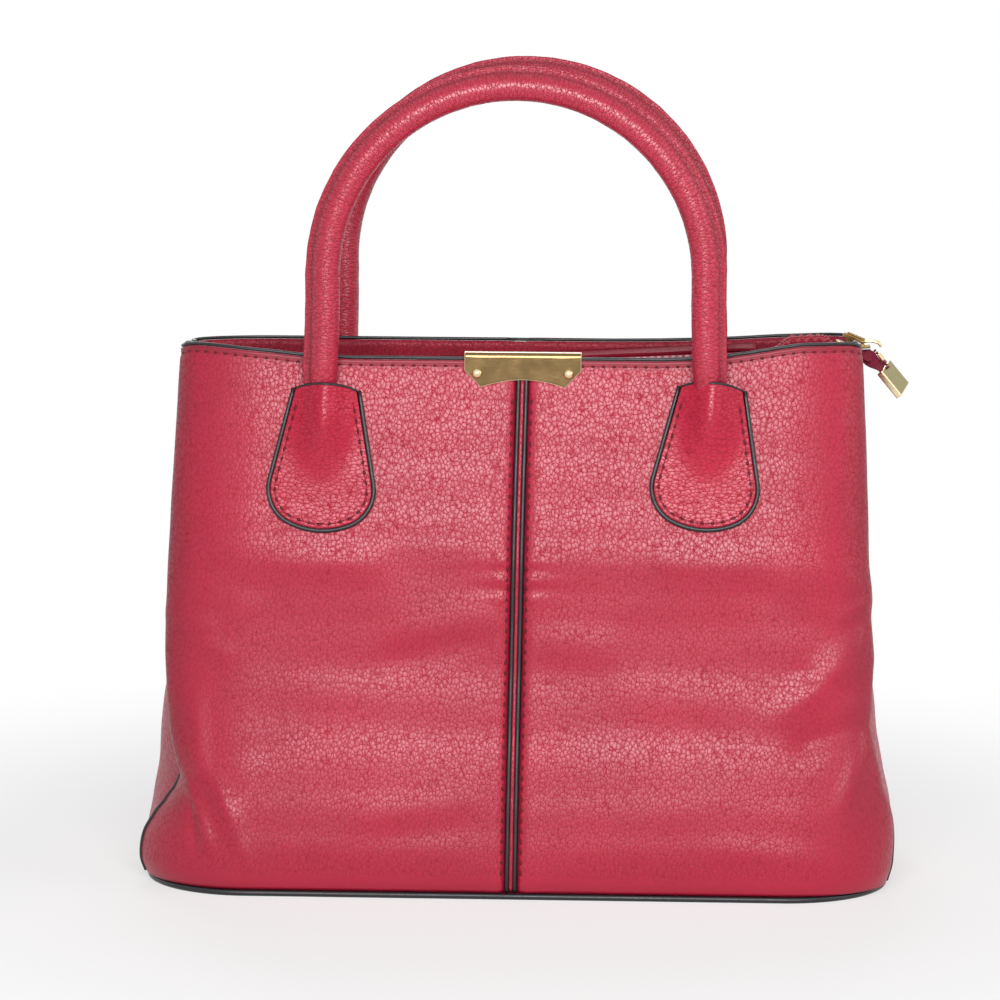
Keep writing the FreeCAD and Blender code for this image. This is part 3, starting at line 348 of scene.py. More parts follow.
def wall_point(side, hand, share, height, inset=0.0):
    """Place on a wall; share runs from the centre seam (0) to the side seam (1)."""
    level = clamp(height, WALL_FOOT, WALL_TOP)
    straight, whole = wall_lengths(side, hand, level)
    bend = straight / whole
    depth = FACE_Y(level)
    corner_x = CORNER_X(level)
    centre = CENTRE_X(level) * -side * hand
    if share <= bend:
        x = mix(centre + SEAM_HALF, corner_x, share / bend)
        turn = 0.0
        y = depth
    else:
        whole_turn = math.radians(CORNER_TURN[side, hand](level))
        turn = whole_turn * (share - bend) / (1 - bend)
        outmost = math.sin(min(whole_turn, math.pi / 2))
        x = corner_x + (SEAM_X[side, hand](level) - corner_x) * math.sin(turn) / outmost
        y = depth - (depth - SEAM_Y(level)) * (1 - math.cos(turn)) / (1 - math.cos(whole_turn))
    off_seam = x - centre - SEAM_HALF
    soft = rise(level, 4, 20) * smoothstep((218 - level) / 25)
    proud = PILLOW * math.sin(math.pi * clamp(off_seam / (corner_x + 12))) * soft
    proud += SEAM_PUFF * bump(off_seam - 5, 3) - SEAM_DIP * bump(off_seam, 1.5)
    proud -= EDGE_GROOVE * bump(level - EDGE_GROOVE_HEIGHT, 0.7) * smoothstep(off_seam / 6)
    sewn_down = rise(level, 3, 10) * smoothstep((1 - share) / 0.06)
    proud += fold_height(side, hand * x, level) * sewn_down
    wave = Vector((hand * x * WRINKLE_ACROSS + 40 * side, level * WRINKLE_UP, side * 7.0))
    proud += (WRINKLE * noise.noise(wave) + pucker_height(off_seam, level)) * soft - inset
    x += proud * math.sin(turn)
    y += proud * math.cos(turn)
    return Vector((hand * x, side * y, height + edge_rise(side, hand, x, height)))


def surface(name, columns, rows, place, closed=False, capped=False, flip=False):
    """Mesh grid whose corners are set by place(across, along), both 0 to 1; its UVs keep these shares."""
    bm = bmesh.new()
    bmesh.ops.create_grid(bm, x_segments=columns, y_segments=rows, size=0.5)
    uv_layer = bm.loops.layers.uv.new("shares")
    for face in bm.faces:
        face.smooth = True
        for loop in face.loops:
            loop[uv_layer].uv = (loop.vert.co.x + 0.5, loop.vert.co.y + 0.5)
    for vert in bm.verts:
        vert.co = place(clamp(vert.co.x + 0.5), clamp(vert.co.y + 0.5)) * MM
    if closed:
        bmesh.ops.remove_doubles(bm, verts=bm.verts, dist=0.01 * MM)
    if flip:
        bmesh.ops.reverse_faces(bm, faces=bm.faces)
    if capped:
        bmesh.ops.holes_fill(bm, edges=[edge for edge in bm.edges if edge.is_boundary], sides=0)
    return from_bmesh(name, bm)


def thicken(item, thickness, edge=None):
    """Give a sheet its thickness, inwards from its face, and its cut edge a finish of its own."""
    modifier = item.modifiers.new("thickness", "SOLIDIFY")
    modifier.thickness = thickness * MM
    modifier.offset = -1.0
    modifier.use_even_offset = True
    if edge:
        item.data.materials.append(edge)
        modifier.material_offset_rim = 1


def set_share(item, layer_name, share):
    """Store a share for each place of a piece, which its leather reads."""
    layer = item.data.attributes.new(layer_name, "FLOAT", "POINT")
    for vert, value in zip(item.data.vertices, layer.data):
        value.value = share(vert.co / MM)


def fit(item, material, slot, *nodes, body="bag_body"):
    """Give a piece its material, let it move with a body and stand for CAD nodes."""
    item.data.materials.append(material)
    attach(item, body)
    if nodes:
        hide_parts(*nodes)
    return item


def coat(add, height, strength, depth_mm, inputs):
    """Close a material: relief of a depth in mm, the surface's own values, and the output."""
    relief = add("Bump", {"Strength": strength, "Distance": depth_mm * MM, "Height": height})
    add("OutputMaterial", [add("BsdfPrincipled", {**inputs, "Normal": relief})])


# Sizes of the leather's pattern: the wander of its creases and how far they stray, the patches in which
# they widen, the pores and the blotches of the dye
WANDER_MM = 2.4
STRAY_MM = 1.3
PATCH_MM = 3.5
PORE_MM = 0.6
BLOTCH_MM = 38.5


def leather(name, body_colour, crease_colour, grain_mm=(1.5, 1.5, 2.1), depth_mm=0.1, roughness=0.29,
            sheen=0.5, by_shares=None):
    """Drum-dyed pebbled cowhide: soft glints on rounded pebbles and darker, duller creases between them.
    The piece's own grain share smooths the pebbles, and its share of painted shade darkens the colour."""
    material, add, place = new_material(name)
    source = place["Object"]
    if by_shares:
        source = add("Mapping", {"Vector": place["UV"], "Scale": by_shares + (1,)})
    drift = add("TexNoise", {"Vector": source, "Scale": 1 / (WANDER_MM * MM), "Detail": 3.0})
    stray = (STRAY_MM * MM,) * 3
    drifted = add("VectorMath", [drift.outputs["Color"], stray, source], operation="MULTIPLY_ADD")
    cell_scale = tuple(1 / (size * MM) for size in grain_mm)
    cells = add("Mapping", {"Vector": drifted, "Scale": cell_scale})
    domes = add("TexVoronoi", {"Vector": cells, "Scale": 1.0, "Smoothness": 0.2, "Randomness": 1.0},
                feature="SMOOTH_F1")
    crown = add("MapRange", [domes, 0.1, 0.75, 1.0, 0.0], interpolation_type="SMOOTHSTEP")
    edges = add("TexVoronoi", {"Vector": cells, "Scale": 1.0, "Randomness": 1.0},
                feature="DISTANCE_TO_EDGE")
    patch = add("TexNoise", {"Vector": source, "Scale": 1 / (PATCH_MM * MM), "Detail": 2.0})
    width = add("MapRange", [patch, 0.35, 0.65, 0.05, 0.085])
    reach = add("Math", [edges, width], operation="DIVIDE")
    crease = add("MapRange", [reach], interpolation_type="SMOOTHSTEP")
    pebble = add("Mix", {0: 0.34, 2: crease, 3: crown}, data_type="FLOAT")
    smoothed = add("Attribute", attribute_name="grain").outputs["Fac"]
    shown = add("Math", [1.0, smoothed], operation="SUBTRACT", use_clamp=True)
    worn = add("Mix", {0: shown, 2: 0.75, 3: pebble}, data_type="FLOAT")
    broad = add("TexNoise", {"Vector": place["Object"], "Scale": 1 / (BLOTCH_MM * MM), "Detail": 3.0})
    blotch = add("MapRange", [broad, 0.3, 0.7, 0.94, 1.05])
    # Painted shade: the piece's share darkens the colour where it stands in for shade
    painted_shade = add("Attribute", attribute_name="painted_shade").outputs["Fac"]
    shade = add("Math", [blotch, painted_shade], operation="SUBTRACT")
    dye = add("Mix", {0: worn, 6: linear(crease_colour), 7: linear(body_colour)}, data_type="RGBA")
    toned = add("HueSaturation", {"Color": dye.outputs[2], "Value": shade})
    pores = add("TexNoise", {"Vector": source, "Scale": 1 / (PORE_MM * MM), "Detail": 3.0})
    grained = add("Math", [pebble, shown], operation="MULTIPLY")
    height = add("Math", [pores, 0.12, grained], operation="MULTIPLY_ADD")
    gloss = add("MapRange", [worn, 0.0, 1.0, 0.8, roughness])
    coat(add, height, 1.0, depth_mm,
         {"Base Color": toned, "Roughness": gloss, "Specular IOR Level": sheen})
    return material


RED_LEATHER = leather("red_cowhide", "#B01A3B", "#9A0A26")
PANEL_COLUMNS = 110
PANEL_ROWS = 150
LEATHER_MM = 1.7
BAND_FOOT = 220.4
# Painted shade: how far the colour is darkened in the stitched band and where the panels turn to the side
# seams
BAND_SHADE = 0.34
TURNED_SHADE = 0.22
CORNER_SMOOTHING = 0.25


def base_smoothing(point):
    """1 along the base, where the leather is stretched smooth."""
    return smoothstep((11 - point.z) / 3)


def edge_band(point):
    """1 in the turned and stitched band below the top edge."""
    corner = (FRONT if point.y < 0 else BACK, LEFT if point.x < 0 else RIGHT)
    return smoothstep((point.z - EDGE_RISE[corner](abs(point.x)) - BAND_FOOT) / 0.6)


def wall_grain(point):
    """1 hides the grain: at the stretched corners, along the base and in the stitched top band."""
    corner = rise(abs(point.x), 122, 14) * smoothstep((150 - point.z) / 40)
    return max(CORNER_SMOOTHING * corner, base_smoothing(point), edge_band(point))


def wall_painted_shade(point):
    """Painted shade, darkening the colour: in the stitched band and where the panels turn to the side seams.
    """
    turned = rise(abs(point.x), 132, 14) * rise(point.z, 10, 40)
    return max(BAND_SHADE * edge_band(point), TURNED_SHADE * turned)


for side, hand in CORNERS:
    def panel_place(across, along):
        eased = mix(along, smoothstep(along), 0.15)
        return wall_point(side, hand, across, mix(WALL_FOOT, WALL_TOP, eased))

    node_name = corner_name(side, hand, "panel")
    panel = surface(node_name + "_leather", PANEL_COLUMNS, PANEL_ROWS, panel_place, flip=side * hand > 0)
    set_share(panel, "grain", wall_grain)
    # Painted shade in the band under the top edge and at the turned sides
    set_share(panel, "painted_shade", wall_painted_shade)
    thicken(panel, LEATHER_MM)
    fit(panel, RED_LEATHER, "red_leather", node_name)


# Centre seams: a narrow leather strip between two black pipings, from the base to the top edge,
# sewn to both panels with red thread.
WORN_MM = 11.1


def glossy(name, colour, roughness, grain_mm, depth_mm):
    """Lacquer, wax or moulded nylon: a smooth, slightly rippled skin with duller patches."""
    material, add, place = new_material(name)
    ripple = add("TexNoise", {"Vector": place["Object"], "Scale": 1 / (grain_mm * MM), "Detail": 4.0})
    worn = add("TexNoise", {"Vector": place["Object"], "Scale": 1 / (WORN_MM * MM), "Detail": 2.0})
    gloss = add("MapRange", [worn, 0.0, 1.0, roughness - 0.1, roughness + 0.12])
    coat(add, ripple, 0.6, depth_mm, {"Base Color": linear(colour), "Roughness": gloss})
    return material


BLACK_PIPING = glossy("black_piping", "#17161A", 0.36, 0.7, 0.12)
THREAD = glossy("waxed_thread", "#A3102E", 0.5, 0.4, 0.1)
# Dark beads at the needle holes between the stitches: painted shade
PAINTED_HOLE_SHADE = glossy("painted_hole_shade", "#640A1C", 0.8, 0.4, 0.05)


def tube(name, path, radius, sides=10):
    """Closed round tube along a path, its rings turned as little as possible."""
    last = len(path) - 1
    tangents = [(path[min(index + 1, last)] - path[max(index - 1, 0)]).normalized()
                for index in range(last + 1)]
    normal = tangents[0].orthogonal().normalized()
    rings = []
    for tangent in tangents:
        normal = (normal - tangent * normal.dot(tangent)).normalized()
        rings.append((normal, tangent.cross(normal)))

    def place(across, along):
        index = round(along * last)
        turn = math.tau * across
        up, aside = rings[index]
        return path[index] + (up * math.cos(turn) + aside * math.sin(turn)) * radius

    return surface(name, sides, last, place, closed=True, capped=True)


def piping(node_name, path, radius):
    """Black cord along a seam, in place of its CAD node."""
    fit(tube(node_name + "_cord", path, radius), BLACK_PIPING, "piping_leather", node_name)


def beads(name, places, size):
    """Row of small rounded lumps: places are (middle, turn) pairs, size is half lengths."""
    bm = bmesh.new()
    scale = Matrix.Diagonal(Vector(size) * MM).to_4x4()
    for middle, turn in places:
        bmesh.ops.create_icosphere(bm, subdivisions=1, radius=1.0,
                                   matrix=Matrix.Translation(middle * MM) @ turn.to_4x4() @ scale)
    for face in bm.faces:
        face.smooth = True
    return from_bmesh(name, bm)


def along_path(path, reach):
    """Place and direction on a path at a distance from its start."""
    for start, end in zip(path, path[1:]):
        run = (end - start).length
        if reach <= run:
            break
        reach -= run
    return start.lerp(end, min(reach / run, 1)), (end - start).normalized()


STITCH_PITCH = 4.4
STITCH_SIZE = (1.45, 0.36, 0.3)
HOLE_SIZE = (1.1, 0.7, 0.35)


def sew(name, paths, out, hole_size=HOLE_SIZE, body="bag_body"):
    """Stitches along paths on the leather, with dark beads between them as painted shade of the needle
    holes; out gives the way off it.
    """
    threads, holes = [], []
    for path in paths:
        whole = sum((end - start).length for start, end in zip(path, path[1:]))
        count = round(whole / STITCH_PITCH)
        for step in range(2 * count - 1):
            middle, along = along_path(path, (step + 1) * whole / (2 * count))
            off = (out(middle) - along * out(middle).dot(along)).normalized()
            turn = Matrix((along, off.cross(along), off)).transposed()
            (holes if step % 2 else threads).append((middle, turn))
    fit(beads(name + "_thread", threads, STITCH_SIZE), THREAD, "red_leather", body=body)
    fit(beads(name + "_painted_hole_shade", holes, hole_size), PAINTED_HOLE_SHADE, "red_leather", body=body)


SEAM_FOOT = 3.2
SEAM_HEAD = 222.6
SEAM_STEPS = 110
SEAM_HEIGHTS = [mix(SEAM_FOOT, SEAM_HEAD, step / SEAM_STEPS) for step in range(SEAM_STEPS + 1)]
SEAM_STITCH_OFF = 1.4
STRIP_HALF = 0.75
STRIP_BULGE = 0.25
STRIP_SUNK = 0.35
STRIP_MM = 0.8
CENTRE_CORD_OFF = 1.65
CENTRE_CORD_RADIUS = 0.85
CENTRE_CORD_SUNK = 0.3

for side, side_name in SIDE_NAMES.items():
    def centre_point(off, proud, z):
        return Vector((CENTRE_X(z) * -side + off, side * (FACE_Y(z) + proud), z))

    def strip_place(across, along):
        off = mix(-STRIP_HALF, STRIP_HALF, across)
        bulge = STRIP_BULGE * (1 - (off / STRIP_HALF) ** 2)
        return centre_point(off, bulge - STRIP_SUNK, mix(SEAM_FOOT, SEAM_HEAD, along))

    strip = surface(side_name + "_centre_strip_leather", 6, SEAM_STEPS, strip_place, flip=side == BACK)
    thicken(strip, STRIP_MM)
    fit(strip, RED_LEATHER, "red_leather", side_name + "_centre_strip")
    rows = []
    for hand in (LEFT, RIGHT):
        path = [centre_point(hand * CENTRE_CORD_OFF, -CENTRE_CORD_SUNK, z) for z in SEAM_HEIGHTS]
        piping(corner_name(side, hand, "centre_piping"), path, CENTRE_CORD_RADIUS)
        rows.append([wall_point(side, hand, SEAM_STITCH_OFF / wall_lengths(side, hand, z)[1], z, -0.05)
                     for z in SEAM_HEIGHTS[2:-6]])
    sew(side_name + "_centre_seam", rows, lambda point: Vector((0, side, 0.1)))


# Side seams and top edges: thin black piping, lacquered leather over a cord, is sewn into the four side
# seams and along both top edges. The front edge's ends are turned down at the corners, and one row of
# red thread holds the turned band below each edge.
SIDE_CORD_RADIUS = 1.0
SIDE_CORD_FOOT = 3.4
SIDE_CORD_HEAD = 222.8
TOP_CORD_RADIUS = 0.75
TOP_CORD_INSET = 0.85
EDGE_STITCH = 221.0
EDGE_STEPS = 120
STITCHED_STEPS = 112
CORNER_WRAP = {LEFT: 5.4, RIGHT: 1.8}
WRAP_STEPS = 5


def edge_row(side, steps, height, inset):
    """Places along a top edge from its left to its right, over a number of steps either way."""
    return [wall_point(side, LEFT if step < 0 else RIGHT, abs(step) / EDGE_STEPS, height, inset)
            for step in range(-steps, steps + 1)]


for side, side_name in SIDE_NAMES.items():
    rim = [point + Vector((0, 0, TOP_CORD_RADIUS))
           for point in edge_row(side, EDGE_STEPS, WALL_TOP, TOP_CORD_INSET)]
    for hand in (LEFT, RIGHT):
        heights = [mix(SIDE_CORD_FOOT, SIDE_CORD_HEAD, step / EDGE_STEPS) for step in range(EDGE_STEPS + 1)]
        path = [wall_point(side, hand, 1.0, z, 0.1) for z in heights]
        piping(corner_name(side, hand, "side_piping"), path, SIDE_CORD_RADIUS)
        if side == FRONT:
            drops = [CORNER_WRAP[hand] * (step + 1) / WRAP_STEPS for step in range(WRAP_STEPS)]
            wrap = [wall_point(side, hand, 1.0, WALL_TOP - drop, -0.5) for drop in drops]
            rim = wrap[::-1] + rim if hand == LEFT else rim + wrap
    sew(side_name + "_top_edge", [edge_row(side, STITCHED_STEPS, EDGE_STITCH, -0.1)],
        lambda point: Vector((0.3 * point.x / 144, side, 0.1)))
    piping(side_name + "_top_piping", rim, TOP_CORD_RADIUS)


# Gussets: one leather panel at each end of the bag, round at the base and folded inwards to a V at the
# top. It is sewn between the front and the back, and its cut top edge is painted.
GUSSET_UPPER = [(88, 150), (115, 143), (145, 135.5), (185, 126.5), (225, 118)]
GUSSET_X = {LEFT: smooth_curve([(0, 157), (12, 160.5), (28, 158), (45, 155.6), (66, 154.4)] + GUSSET_UPPER),
            RIGHT: smooth_curve([(0, 157), (12, 160), (28, 160), (45, 157), (60, 154.2)] + GUSSET_UPPER)}
GUSSET_FOLD = smooth_curve([(0, 2.0), (60, 2.0), (110, 1.5), (160, 1.2), (225, 1.1)])
GUSSET_CREASE = 0.004
GUSSET_WRINKLE = 0.8
GUSSET_DIP = 7.5
GUSSET_SMOOTHING = 0.35


def matt(name, colour, grain_mm):
    """Edge paint brushed on a cut edge: no gloss, a little uneven."""
    material, add, place = new_material(name)
    patch = add("TexNoise", {"Vector": place["Object"], "Scale": 1 / (grain_mm * MM), "Detail": 3.0})
    tone = add("MapRange", [patch, 0.0, 1.0, 0.75, 1.2])
    shade = add("HueSaturation", {"Color": linear(colour), "Value": tone})
    coat(add, patch, 0.5, 0.1, {"Base Color": shade, "Roughness": 0.9, "Specular IOR Level": 0.1})
    return material


EDGE_PAINT = matt("red_edge_paint", "#7A1024", 1.2)


def gusset_grain(point):
    """1 hides the grain: the gusset's leather is pressed flatter, and smooth along the base."""
    return max(GUSSET_SMOOTHING, base_smoothing(point))


for hand in (LEFT, RIGHT):
    def gusset_place(across, along):
        z = mix(WALL_FOOT, WALL_TOP, along)
        reach = 2 * across - 1
        edge = wall_point(FRONT if reach < 0 else BACK, hand, 1.0, z, 1.2)
        middle = GUSSET_X[hand](z)
        bend = math.sqrt(reach * reach + GUSSET_CREASE) - math.sqrt(GUSSET_CREASE) * (1 - abs(reach))
        x = middle + (abs(edge.x) - middle) * clamp(bend) ** GUSSET_FOLD(z)
        x += GUSSET_WRINKLE * noise.noise(Vector((hand * 9.0, reach * 2.2, z * 0.03))) * (1 - abs(reach))
        y = abs(reach) * edge.y
        dip = GUSSET_DIP * bump(y, 8) * rise(z, 190, 33)
        return Vector((hand * x, y, mix(z, edge.z, abs(reach)) - dip))

    node_name = HAND_NAMES[hand] + "_gusset"
    gusset = surface(node_name + "_leather", 64, 110, gusset_place, flip=hand == LEFT)
    set_share(gusset, "grain", gusset_grain)
    fit(gusset, RED_LEATHER, "red_leather", node_name)
    thicken(gusset, LEATHER_MM, EDGE_PAINT)


# Inside: a leather facing is sewn below each top edge and a dark woven lining hangs under it. A fibre
# board covered with the same cloth stiffens the base; the base panel is edged with black piping.
SLUB_MM = 1.43


def woven(name, warp, weft, thread_mm):
    """Plain weave, drawn one check to a thread: two colours crossing, with thicker and thinner yarns."""
    material, add, place = new_material(name)
    threads = add("Mapping", {"Vector": place["Object"], "Scale": (1 / (thread_mm * MM),) * 3})
    check = add("TexChecker",
                {"Vector": threads, "Color1": linear(warp), "Color2": linear(weft), "Scale": 1.0})
    slub = add("TexNoise", {"Vector": place["Object"], "Scale": 1 / (SLUB_MM * MM), "Detail": 3.0})
    tone = add("MapRange", [slub, 0.0, 1.0, 0.75, 1.2])
    shade = add("HueSaturation", {"Color": check, "Value": tone})
    coat(add, check.outputs["Fac"], 0.6, 0.2, {"Base Color": shade, "Roughness": 0.85})
    return material


FACING_LEATHER = leather("facing_cowhide", "#9C1A34", "#6E0A1C", depth_mm=0.14, roughness=0.5, sheen=0.4)
LINING_CLOTH = woven("lining_cloth", "#2B2422", "#372E2B", 0.6)
BOARD = glossy("base_board_fibre", "#5A4A36", 0.7, 0.9, 0.2)
FACING_FOOT = 189.0
FACING_MM = 1.1
LINING_FOOT = 7.5
LINING_HEAD = FACING_FOOT - 0.4
LINING_MM = 0.6
INNER_INSET = 2.3


def inner_point(side, across, height):
    """Place on the inside of a wall; across runs from its left end (0) to its right end (1)."""
    hand = LEFT if across < 0.5 else RIGHT
    return wall_point(side, hand, abs(2 * across - 1), height, INNER_INSET)


def dress(node_name, material):
    """Give a CAD node that keeps its shape a better material."""
    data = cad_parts[node_name].data
    data.materials.clear()
    data.materials.append(material)


for side, side_name in SIDE_NAMES.items():
    def facing_place(across, along):
        return inner_point(side, across, mix(FACING_FOOT, WALL_TOP, along))

    def lining_place(across, along):
        return inner_point(side, across, mix(LINING_FOOT, LINING_HEAD, along))

    facing = surface(side_name + "_facing_leather", 150, 16, facing_place, flip=side == BACK)
    fit(facing, FACING_LEATHER, "facing_leather", side_name + "_facing")
    thicken(facing, FACING_MM, EDGE_PAINT)
    lining = surface(side_name + "_lining_cloth", 90, 60, lining_place, flip=side == BACK)
    thicken(lining, LINING_MM)
    fit(lining, LINING_CLOTH, "lining_cloth", side_name + "_lining")

dress("base_panel", RED_LEATHER)
dress("base_piping", BLACK_PIPING)
dress("base_lining", LINING_CLOTH)
dress("base_board", BOARD)


# Handle tabs: leather shields sewn over the ends of the handles, edged with black piping and with
# a painted top edge; the handle's end makes a ridge down the upper middle.
TAB_TOP = 210.4
TAB_EAR = 12.8
TAB_SIDE = 20.9
TAB_SHOULDER = 38.0
TAB_CORNER = 14.5
TAB_BOW = 31.0
TAB_CREST = 3.4
TAB_MIDDLE = 26.0
# Middle of each tab from the middle of the bag, how far its foot swings to the left, and its lift
TABS = {(FRONT, LEFT): (-81.4, 2.2, 0.4), (FRONT, RIGHT): (79.4, 3.6, 2.4),
        (BACK, LEFT): (-79.5, -1.0, 0.4), (BACK, RIGHT): (80.0, -1.6, 0.0)}
# Height of the leather over the handle's end, its half width, and where and how far down it fades
RIDGE = 10.3
RIDGE_HALF = 8.8
RIDGE_FADE = 6
RIDGE_RUN = 34


def on_wall(side, across, height, lift):
    """Place above the flat part of a wall, at a distance from the middle and a height."""
    hand = RIGHT if across > 0 else LEFT
    height -= edge_rise(side, hand, abs(across), height)
    level = clamp(height, WALL_FOOT, WALL_TOP)
    straight, whole = wall_lengths(side, hand, level)
    seam = CENTRE_X(level) * -side * hand + SEAM_HALF
    run = (abs(across) - seam) / (CORNER_X(level) - seam)
    return wall_point(side, hand, run * straight / whole, height, -lift)


def tab_outline(outside=0.0, first=0):
    """Outline of a tab from ear to ear round its foot, as (across, below the ears) points."""
    ear, shoulder = Vector((TAB_EAR, 0)), Vector((TAB_SIDE, TAB_SHOULDER))
    run = (shoulder - ear).normalized()
    out = Vector((run.y, -run.x))
    corner = shoulder - out * TAB_CORNER
    middle = Vector((0, corner.y - math.sqrt((TAB_BOW - TAB_CORNER) ** 2 - corner.x ** 2)))
    down = (corner - middle).normalized()
    half = [ear.lerp(shoulder, step / 12) + out * outside for step in range(12)]
    start, end = math.atan2(out.y, out.x), math.atan2(down.y, down.x)
    for step in range(13):
        turn = mix(start, end, step / 12)
        half.append(corner + Vector((math.cos(turn), math.sin(turn))) * (TAB_CORNER + outside))
    for step in range(1, 11):
        turn = mix(end, math.pi / 2, step / 10)
        half.append(middle + Vector((math.cos(turn), math.sin(turn))) * (TAB_BOW + outside))
    half = half[first:]
    return half + [Vector((-point.x, point.y)) for point in reversed(half[:-1])]


def crest_points(count):
    """Places along the bowed top edge of a tab, from its left ear to its right."""
    shares = [mix(-1, 1, step / count) for step in range(count + 1)]
    return [Vector((TAB_EAR * share, -TAB_CREST * (1 - share * share))) for share in shares]


def tab_place(side, hand, point, lift):
    """Place on a tab: point is measured across and down the tab, lift from its wall."""
    middle, swing, raised = TABS[side, hand]
    turn = math.radians(swing)
    across, down = point.x, point.y - TAB_MIDDLE
    x = middle + across * math.cos(turn) - down * math.sin(turn)
    z = TAB_TOP + raised - TAB_MIDDLE - down * math.cos(turn) - across * math.sin(turn)
    return on_wall(side, x, z, lift)


def tab_ridge(point):
    """Height of the leather over the handle's end."""
    return RIDGE * (1 - rise(point.y, RIDGE_FADE, RIDGE_RUN)) * bump(point.x, RIDGE_HALF)


TAB_LEATHER = leather("tab_cowhide", "#BA183C", "#98041F", grain_mm=(2.2, 2.2, 1.4), depth_mm=0.12,
                      sheen=0.45)
TAB_RINGS = 22
TAB_MM = 1.4
TAB_LIFT = 1.5
TAB_PUFF = 0.5
TAB_GROOVE = 0.35
TAB_CORD_RADIUS = 0.95
TAB_STITCH_OFF = 1.9
TAB_STITCH_LIFT = 1.75
CREST_LIFT = 1.0
CREST_RADIUS = 0.62
tab_edge = tab_outline() + crest_points(16)[1:-1]
tab_edge.append(tab_edge[0])
tab_columns = len(tab_edge) - 1

for side, hand in CORNERS:
    def tab_skin(across, along):
        spread = math.sqrt(along)
        point = Vector((0, TAB_MIDDLE)).lerp(tab_edge[round(across * tab_columns)], spread)
        rim = clamp((1 - spread) * TAB_RINGS)
        lift = TAB_LIFT + TAB_PUFF * smoothstep(rim / 5) - TAB_GROOVE * bump(rim - 2.0, 0.6)
        return tab_place(side, hand, point, lift + tab_ridge(point))

    node_name = corner_name(side, hand, "tab")
    tab = surface(node_name + "_leather", tab_columns, TAB_RINGS, tab_skin, closed=True, flip=side == BACK)
    thicken(tab, TAB_MM)
    fit(tab, TAB_LEATHER, "red_leather", node_name)
    path = [tab_place(side, hand, point, TAB_CORD_RADIUS) for point in tab_outline(TAB_CORD_RADIUS)]
    piping(node_name + "_piping", path, TAB_CORD_RADIUS)
    row = [tab_place(side, hand, point, TAB_STITCH_LIFT + tab_ridge(point))
           for point in tab_outline(-TAB_STITCH_OFF, first=1)]
    sew(node_name, [row], lambda point: Vector((0, side, 0.15)))
    crest = [point - Vector((0, 0.1)) for point in crest_points(24)]
    path = [tab_place(side, hand, point, CREST_LIFT + tab_ridge(point)) for point in crest]
    fit(tube(node_name + "_edge_paint", path, CREST_RADIUS), BLACK_PIPING, "piping_leather")


# Handles: leather rolled round a cotton cord, its two edges sewn together in a fin on the outside;
# each leg bends where it enters its tab.
HANDLE_PLANE = 48.2
HANDLE_RADIUS = 5.95
HANDLE_FOOT = 184
HANDLE_SHIFT = {FRONT: -1.2, BACK: 0.0}
ARCH_CENTRE = 259.4
ARCH_RADIUS = 79.1
ARCH_HEIGHT = 78.9
ARCH_STEPS = 96
ARCH_SWAY = 0.5
LEG_STEPS = 29
BEND_FOOT = 212.5
BEND_HEAD = 227.5
CRUMPLE = 0.025
CORD_FOOT = 221
CORD_RADIUS = 4.2
FIN_POINTS = [(5.7, 1.7), (6.5, 1.0), (7.9, 0.85), (8.5, 0.5), (8.5, -0.5), (7.9, -0.85), (6.5, -1.0),
              (5.7, -1.7)]
FIN_GROOVE = (0, 1, 6, 7)
# Painted shade in the groove between the fin and the tube
FIN_GROOVE_SHADE = 0.32
FIN_FOOT = 228
FIN_STITCH = 7.3
FIN_STITCH_OFF = 0.76
FIN_HOLE_SIZE = (0.6, 0.25, 0.2)
ROLL_STEPS = 25


def handle_line(side):
    """Middle line of a handle from its left end to its right end, with the outward direction."""
    legs = {}
    for hand in (LEFT, RIGHT):
        foot_x = TABS[side, hand][0] + HANDLE_SHIFT[side] * 0.3
        leg_x = hand * ARCH_RADIUS + HANDLE_SHIFT[side]
        legs[hand] = []
        for step in range(LEG_STEPS):
            z = mix(HANDLE_FOOT, ARCH_CENTRE, step / LEG_STEPS)
            x = mix(foot_x, leg_x, rise(z, 205, 45))
            hidden = mix(1.8, 4.0, rise(z, HANDLE_FOOT, 28))
            hidden += abs(on_wall(side, foot_x, min(z, 214), 0).y)
            y = mix(hidden, HANDLE_PLANE, rise(z, 211, 12))
            legs[hand].append((Vector((x, side * y, z)), Vector((hand, 0, 0))))
    arch = []
    for step in range(ARCH_STEPS + 1):
        turn = math.pi * step / ARCH_STEPS
        out = Vector((-math.cos(turn), 0, math.sin(turn)))
        sway = ARCH_SWAY * math.sin(3 * turn) * math.sin(turn)
        x = -ARCH_RADIUS * math.cos(turn) + HANDLE_SHIFT[side]
        z = ARCH_CENTRE + ARCH_HEIGHT * math.sin(turn)
        arch.append((Vector((x, side * (HANDLE_PLANE + sway), z)), out))
    return legs[LEFT] + arch + legs[RIGHT][::-1]


def handle_size(height):
    """Share of the full roll at a height: it thins out under the tab."""
    return mix(0.4, 1.0, rise(height, 190, 31))


def roll_section():
    """Section of the leather: the sewn fin, then round the cord and back to the fin."""
    start = math.atan2(FIN_POINTS[0][1], FIN_POINTS[0][0])
    turns = [mix(start, math.tau - start, step / ROLL_STEPS) for step in range(1, ROLL_STEPS)]
    ring = [Vector(point) for point in FIN_POINTS[::-1]]
    ring += [Vector((math.cos(turn), math.sin(turn))) * HANDLE_RADIUS for turn in turns]
    return ring + ring[:1]


def fit_bending(item, body, start, end, slot, *nodes):
    """Bake a soft piece's place into its mesh and hide the CAD nodes it stands for; the body, the start and
    the end place are not used.
    """
    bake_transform(item)
    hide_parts(*nodes)


HANDLE_LEATHER = leather("handle_cowhide", "#B81A3E", "#98041F", grain_mm=(3.0, 1.3, 1.7), depth_mm=0.19,
                         roughness=0.27, sheen=0.75, by_shares=(0.046, 0.405))
CORD_COTTON = woven("cotton_cord", "#CFC8B8", "#BDB5A3", 0.9)
roll = roll_section()
roll_columns = len(roll) - 1

